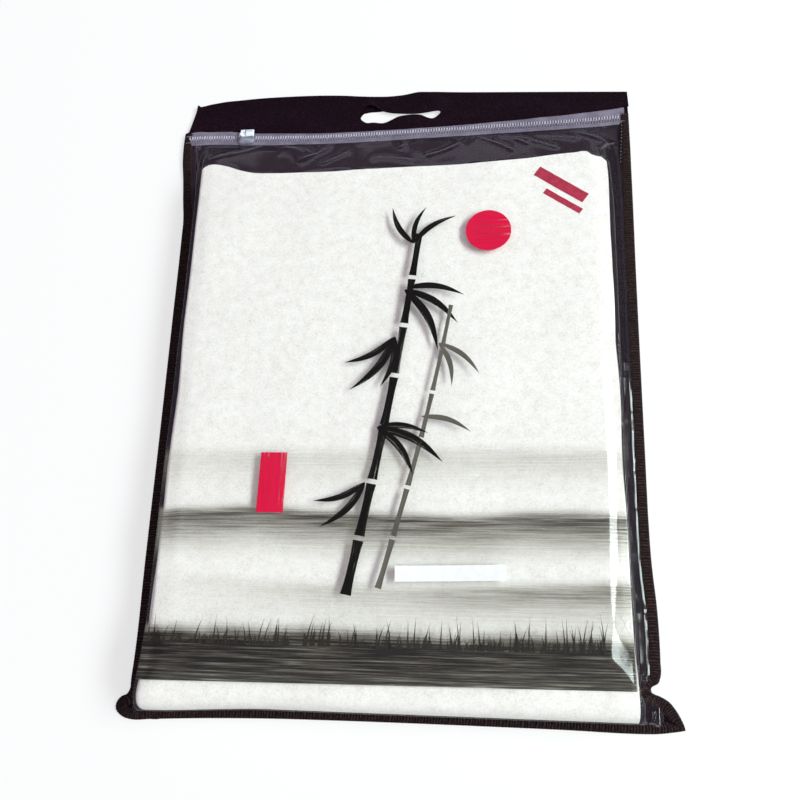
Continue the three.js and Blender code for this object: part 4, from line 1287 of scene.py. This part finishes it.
def patch(centre, half, carrier=onFilm, cols=7, gap=inkPrint["gap"]):  # thin strip along a line
    centre = np.asarray(centre, float)
    tangent = np.gradient(centre, axis=0)
    tangent /= np.linalg.norm(tangent, axis=1, keepdims=True)
    across = np.stack([tangent[:, 1], -tangent[:, 0]], axis=1)
    spread = np.linspace(-1, 1, cols)
    flat = centre[:, None, :] + across[:, None, :] * (np.asarray(half)[:, None] * spread)[:, :, None]
    x, y = flat[..., 0], flat[..., 1]
    low = carrier(x, y, gap)
    upper = np.stack([x, y, low + inkPrint["thick"]], axis=2)
    run = np.concatenate([[0], np.cumsum(np.linalg.norm(np.diff(centre, axis=0), axis=1))])
    grain = np.broadcast_arrays(run[:, None], np.asarray(half)[:, None] * spread, centre[0, 0])
    grain = np.stack(grain, axis=2)
    return shell(upper, np.stack([x, y, low], axis=2)) + (np.tile(grain.reshape(-1, 3), (2, 1)),)


def brushInk(name, colours):  # thin ink laid with a brush: streaks along each stroke, dry hairs at its sides
    material, tree = newMaterial("Screen ink, %s" % name)
    stroke = addNode(tree, "Attribute", attribute_name="stroke").outputs["Vector"]
    stretch = addNode(tree, "Mapping", {"Vector": stroke, "Scale": [1 / size for size in inkPrint["hairs"]]})
    hairs = addNode(tree, "TexNoise", {"Vector": stretch, "Scale": 1.0, "Detail": 3, "Roughness": 0.6})
    ramp = addNode(tree, "ValToRGB", {0: hairs}, stops=list(zip((0.36, 0.66), colours)))
    dry = addNode(tree, "MapRange", {0: hairs, 1: 0.55, 2: 0.68, 3: 0.0, 4: inkPrint["dryness"]})
    ink = addNode(tree, "BsdfPrincipled", {"Base Color": ramp, "Roughness": 0.35, "Specular IOR Level": 0.15})
    thin = addNode(tree, "MixShader", {0: dry, 1: ink, 2: addNode(tree, "BsdfTransparent")})
    addNode(tree, "OutputMaterial", {"Surface": thin})
    return material


def addStrokes(name, strips, material):
    points, faces = joined([strip[:2] for strip in strips])
    piece = addPiece(name, points, faces, material, "clear_film")
    grain = np.concatenate([strip[2] for strip in strips])
    piece.data.attributes.new("stroke", "FLOAT_VECTOR", "POINT").data.foreach_set("vector", grain.ravel())
    return piece


def stalkPatches(foot, top, width, joints):
    form = inkPrint["stalkForm"]
    foot, top = np.array(foot, float), np.array(top, float)
    strips = []
    for k in range(joints):
        share = np.linspace(k / joints + form["gap"], (k + 1) / joints - form["gap"], form["points"])
        sway = form["sway"] * np.sin(share * form["turn"])
        centre = foot + (top - foot) * share[:, None] + np.stack([sway, 0 * sway], axis=1)
        swell = np.abs(np.linspace(-1, 1, form["points"])) ** 3
        half = width / 2 * (form["waist"] + form["knob"] * swell) * mix(1.0, form["tip"], share)
        strips.append(patch(centre, half))
    return strips


def leafPatch(base, heading, length, width):
    form = inkPrint["leafForm"]
    t = np.linspace(0, 1, form["points"])
    turn = math.radians(heading)
    bend = form["bend"] * length * np.sin(t * math.pi)
    centre = np.stack([base[0] + length * t * math.cos(turn) - bend * math.sin(turn),
                       base[1] + length * t * math.sin(turn) + bend * math.cos(turn)], axis=1)
    belly = form["full"] * t ** form["base"] * (1 - t) ** form["end"]
    return patch(centre, width / 2 * np.maximum(belly, form["least"]))


def reedPatches():  # short blades along the top of the darkest band
    reeds = inkPrint["reeds"]
    draw = np.random.default_rng(61)
    t = np.linspace(0, 1, 8)
    strips = []
    for _ in range(reeds["count"]):
        x = draw.uniform(*reeds["ends"])
        tall = reeds["least"] + reeds["more"] * draw.uniform() ** 3
        tall += reeds["wave"] * ripples(x, 0, reeds["waveSize"], seed=62)
        lean = draw.uniform(*reeds["lean"])
        centre = np.stack([x + lean * t ** 2, reeds["foot"] + tall * t], axis=1)
        strips.append(patch(centre, np.maximum(reeds["half"] * (1 - t), reeds["tip"]), cols=3))
    return strips


def barPatch(middle, length, width, turn, count=20, **options):  # a straight strip
    t = np.linspace(-0.5, 0.5, count)
    angle = math.radians(turn)
    x = middle[0] + length * t * math.cos(angle)
    centre = np.stack([x, middle[1] + length * t * math.sin(angle)], axis=1)
    return patch(centre, np.full_like(t, width / 2), **options)


def printPieces():
    look = inkPrint
    inks = {name: brushInk(name, look[name]) for name in ("black", "grey", "reed", "red")}
    strips = {"black": [], "grey": [], "reed": reedPatches()}
    for foot, top, width, joints, ink in look["stalks"]:
        strips[ink].extend(stalkPatches(foot, top, width, joints))
    for base, heading, length, width, ink in look["leaves"]:
        strips[ink].append(leafPatch(base, heading, length, width))
    for ink, parts in strips.items():
        for k, (points, _, _) in enumerate(parts):
            points[:, 2] += look["layer"] * (k % look["layers"])
        addStrokes("ink_%s_strokes" % ink, parts, inks[ink])

    (sunX, sunY), radius = look["sun"]["place"], look["sun"]["radius"]
    t = np.linspace(-0.985, 0.985, 41)
    centre = np.stack([sunX + radius * t, np.full_like(t, sunY)], axis=1)
    addStrokes("ink_red_sun", [patch(centre, radius * np.sqrt(1 - t * t), cols=15)], inks["red"])
    wide, tall = look["block"]["size"]
    addStrokes("ink_red_block", [barPatch(look["block"]["place"], tall, wide, 90, count=14)], inks["red"])

    # ink that has sunk in: dull red, broken up by the nap
    stamp = surfaceOf("Printing ink soaked into felt, red", look["feltRed"], cloudSize=3, bumpHeight=0.3,
                      Roughness=0.9)
    bars = [barPatch(*bar, look["barTurn"], carrier=onFelt, gap=look["barGap"])[:2] for bar in look["bars"]]
    addPiece("felt_corner_bars", *joined(bars), stamp, "felt")

    # clay-coated paper: flat white with a slight gloss
    paper = surfaceOf("Coated paper sticker", look["white"], cloudSize=6, Roughness=0.45,
                      Specular_IOR_Level=0.3)
    low, high = nodeBox("size_label")
    t = np.linspace(low[0], high[0], 24)
    slant = math.tan(math.radians(look["labelTurn"]))
    centre = np.stack([t, (low[1] + high[1]) / 2 + slant * (t - (low[0] + high[0]) / 2)], axis=1)
    sheet = patch(centre, np.full_like(t, (high[1] - low[1]) / 2))
    sticker = addPiece("size_label_blank", *sheet[:2], paper, "label")
    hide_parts("size_label")
    print("picture printed")


feltPiece()
clothPiece()
filmPiece()
edgingPieces()
zipPieces()
stitchPieces()
sliderPieces()
printPieces()
